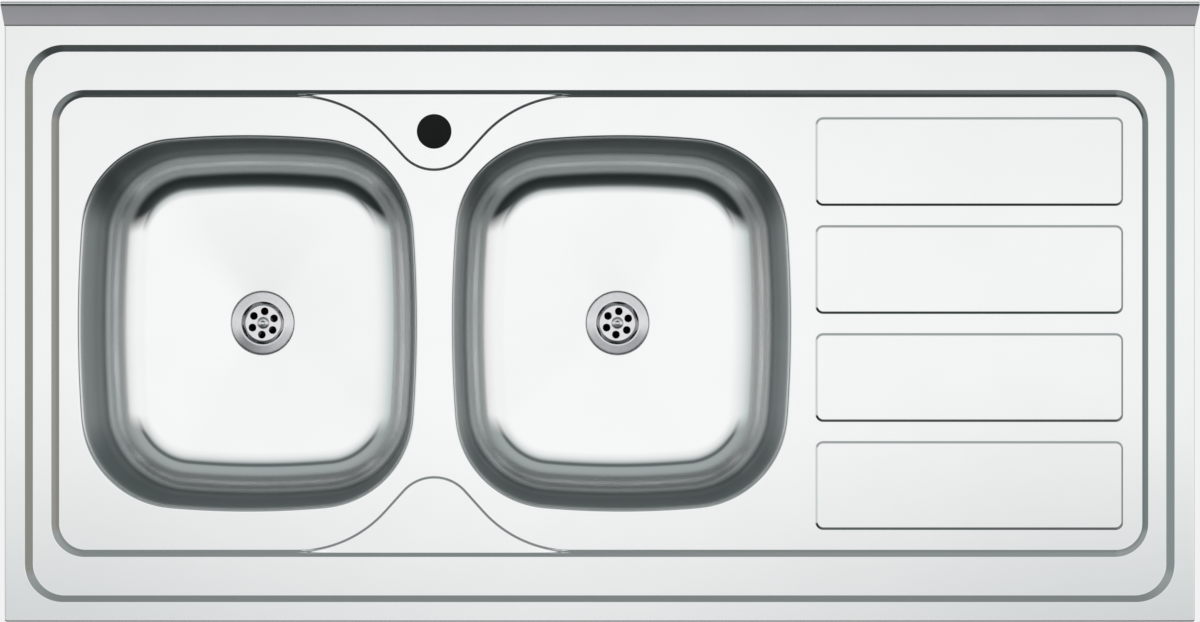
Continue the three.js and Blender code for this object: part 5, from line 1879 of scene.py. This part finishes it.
@dataclass
class Studio:
    """The pale floor, the room that the steel mirrors and the camera straight above."""

    camera_at: tuple[float, float, float] = (-0.053, 0.3026, 2.822)
    lens: float = 83.4
    shift: tuple[float, float] = (0.0442, 0.0033)
    floor_radius: float = 30.0
    floor_segments: int = 64
    floor_colour: str = "#f4f4f4"
    floor_roughness: float = 0.9
    floor_glow: float = 0.85
    # A painted shadow under the sink, where the tap hole looks down to the floor.
    painted_shadow_colour: str = "#3a3a3a"  # below the sink
    painted_shadow_edge: float = 0.03  # m, over which it fades into the floor
    # How far a direction leans to the front or rear where their skies begin, and where they are full.
    # Only a share of the lean counts below the overhead part of the sky, which begins and is full at
    # two sines of height.
    ends: tuple[float, float] = (0.03, 0.12)
    overhead: tuple[float, float] = (0.9, 0.98)
    low_lean: float = 0.4

    def build(self) -> None:
        """Makes the floor, the world and the camera."""
        self.lay_floor()
        self.light()
        self.set_camera()

    def lay_floor(self) -> None:
        """Lays a round floor at the sink's lowest point."""
        low, high = CAD_BOX
        middle = (low + high) / 2
        mesh = bmesh.new()
        bmesh.ops.create_circle(
            mesh, cap_ends=True, radius=self.floor_radius, segments=self.floor_segments
        )
        mesh.transform(Matrix.Translation((middle.x, middle.y, low.z)))
        floor = stand("floor", mesh, self.floor_material(middle, high - middle))

    def floor_material(self, middle: Vector, reach: Vector) -> bpy.types.Material:
        """Makes the floor's matt white.

        It glows to the camera and in the steel, and keeps the sink's shadow. Under the sink it does not
        glow, and its colour is darkened there as a painted shadow.

        Args:
            middle: The middle of the sink's box.
            reach: From there to the box's highest corner.

        Returns:
            The material.
        """
        material = bpy.data.materials.new("studio_floor")
        tree = emptied(material)
        place = add(tree, "SeparateXYZ", {"Vector": add(tree, "TexCoord").outputs["Object"]})
        beside = []
        for axis, centre, half in zip("XY", middle, reach):
            away = add(tree, "Math", {0: place.outputs[axis], 1: centre}, operation="SUBTRACT")
            span = add(tree, "Math", {0: away.outputs[0]}, operation="ABSOLUTE").outputs[0]
            edge = {"Value": span, "From Min": half, "From Max": half + self.painted_shadow_edge}
            beside.append(add(tree, "MapRange", edge).outputs[0])
        outside_painted_shadow = add(tree, "Math", {0: beside[0], 1: beside[1]}, operation="MAXIMUM").outputs[0]
        # Painted shadow: under the sink the floor's colour turns grey-black.
        stops = [(0.0, self.painted_shadow_colour), (1.0, self.floor_colour)]
        shade = set_ramp(add(tree, "ValToRGB", {"Fac": outside_painted_shadow}), stops)
        matt = add(tree, "BsdfPrincipled", {"Base Color": shade, "Roughness": self.floor_roughness})
        pale = add(tree, "Emission", {"Color": linear("#ffffff"), "Strength": 1.0})
        ray = add(tree, "LightPath").outputs
        seen = {0: ray["Is Camera Ray"], 1: ray["Is Glossy Ray"]}
        seen = add(tree, "Math", seen, operation="MAXIMUM").outputs[0]
        share = add(tree, "Math", {0: seen, 1: outside_painted_shadow}, operation="MULTIPLY").outputs[0]
        glow = add(tree, "Math", {0: share, 1: self.floor_glow}, operation="MULTIPLY").outputs[0]
        mixed = add(tree, "MixShader", {0: glow, 1: matt.outputs["BSDF"], 2: pale.outputs["Emission"]})
        add(tree, "OutputMaterial", {"Surface": mixed.outputs["Shader"]})
        return material

    def light(self) -> None:
        """Makes the room that the steel mirrors, from the sky of each of its four sides."""
        world = bpy.data.worlds.new("studio_room")
        bpy.context.scene.world = world
        tree = emptied(world)
        way = add(tree, "SeparateXYZ", {"Vector": add(tree, "TexCoord").outputs["Generated"]}).outputs
        skies = {
            side: set_ramp(add(tree, "ValToRGB", {"Fac": way["Z"]}), stops)
            for side, stops in SKIES.items()
        }
        pairs = []
        for axis, low, high in (("X", Side.LEFT, Side.RIGHT), ("Y", Side.FRONT, Side.REAR)):
            ahead = add(tree, "Math", {0: way[axis], 1: 0.0}, operation="GREATER_THAN").outputs[0]
            sockets = {"Factor": ahead, 6: skies[low], 7: skies[high]}
            pairs.append(add(tree, "Mix", sockets, data_type="RGBA").outputs[2])
        forth = add(tree, "Math", {0: way["Y"]}, operation="ABSOLUTE").outputs[0]
        low, high = self.overhead
        above = add(tree, "MapRange", {"Value": way["Z"], "From Min": low, "From Max": high}).outputs[0]
        counts = {0: above, 1: 1 - self.low_lean, 2: self.low_lean}
        counts = add(tree, "Math", counts, operation="MULTIPLY_ADD").outputs[0]
        lean = add(tree, "Math", {0: forth, 1: counts}, operation="MULTIPLY").outputs[0]
        low, high = self.ends
        share = add(tree, "MapRange", {"Value": lean, "From Min": low, "From Max": high}).outputs[0]
        colour = add(tree, "Mix", {"Factor": share, 6: pairs[0], 7: pairs[1]}, data_type="RGBA")
        background = add(tree, "Background", {"Color": colour.outputs[2], "Strength": 1.0})
        add(tree, "OutputWorld", {"Surface": background.outputs["Background"]})

    def set_camera(self) -> None:
        """Hangs the camera over the sink, looking straight down."""
        data = bpy.data.cameras.new("camera")
        data.lens = self.lens
        data.shift_x, data.shift_y = self.shift
        camera = bpy.data.objects.new("camera", data)
        camera.location = self.camera_at
        bpy.context.scene.collection.objects.link(camera)
        bpy.context.scene.camera = camera


def main() -> None:
    """Builds the studio and every piece of the sink."""
    logging.basicConfig(level=logging.INFO, format="%(name)s: %(message)s")
    bpy.context.scene.view_settings.view_transform = "Standard"
    Studio().build()

    top = PressedTop()
    bowl = Bowl()
    shop = Workshop(top.width, top.depth, top.skirt)
    top.build(shop, bowl.outline(-bowl.flange))
    waste = Waste(shop, bowl)
    for side, x in (("left", top.left_bowl_x), ("right", top.right_bowl_x)):
        bowl.build(shop, side, Vector((x, 0, top.deck_z)))
        waste.build(side, x)
    Underside(shop, top).build()


if __name__ == "__main__":
    main()
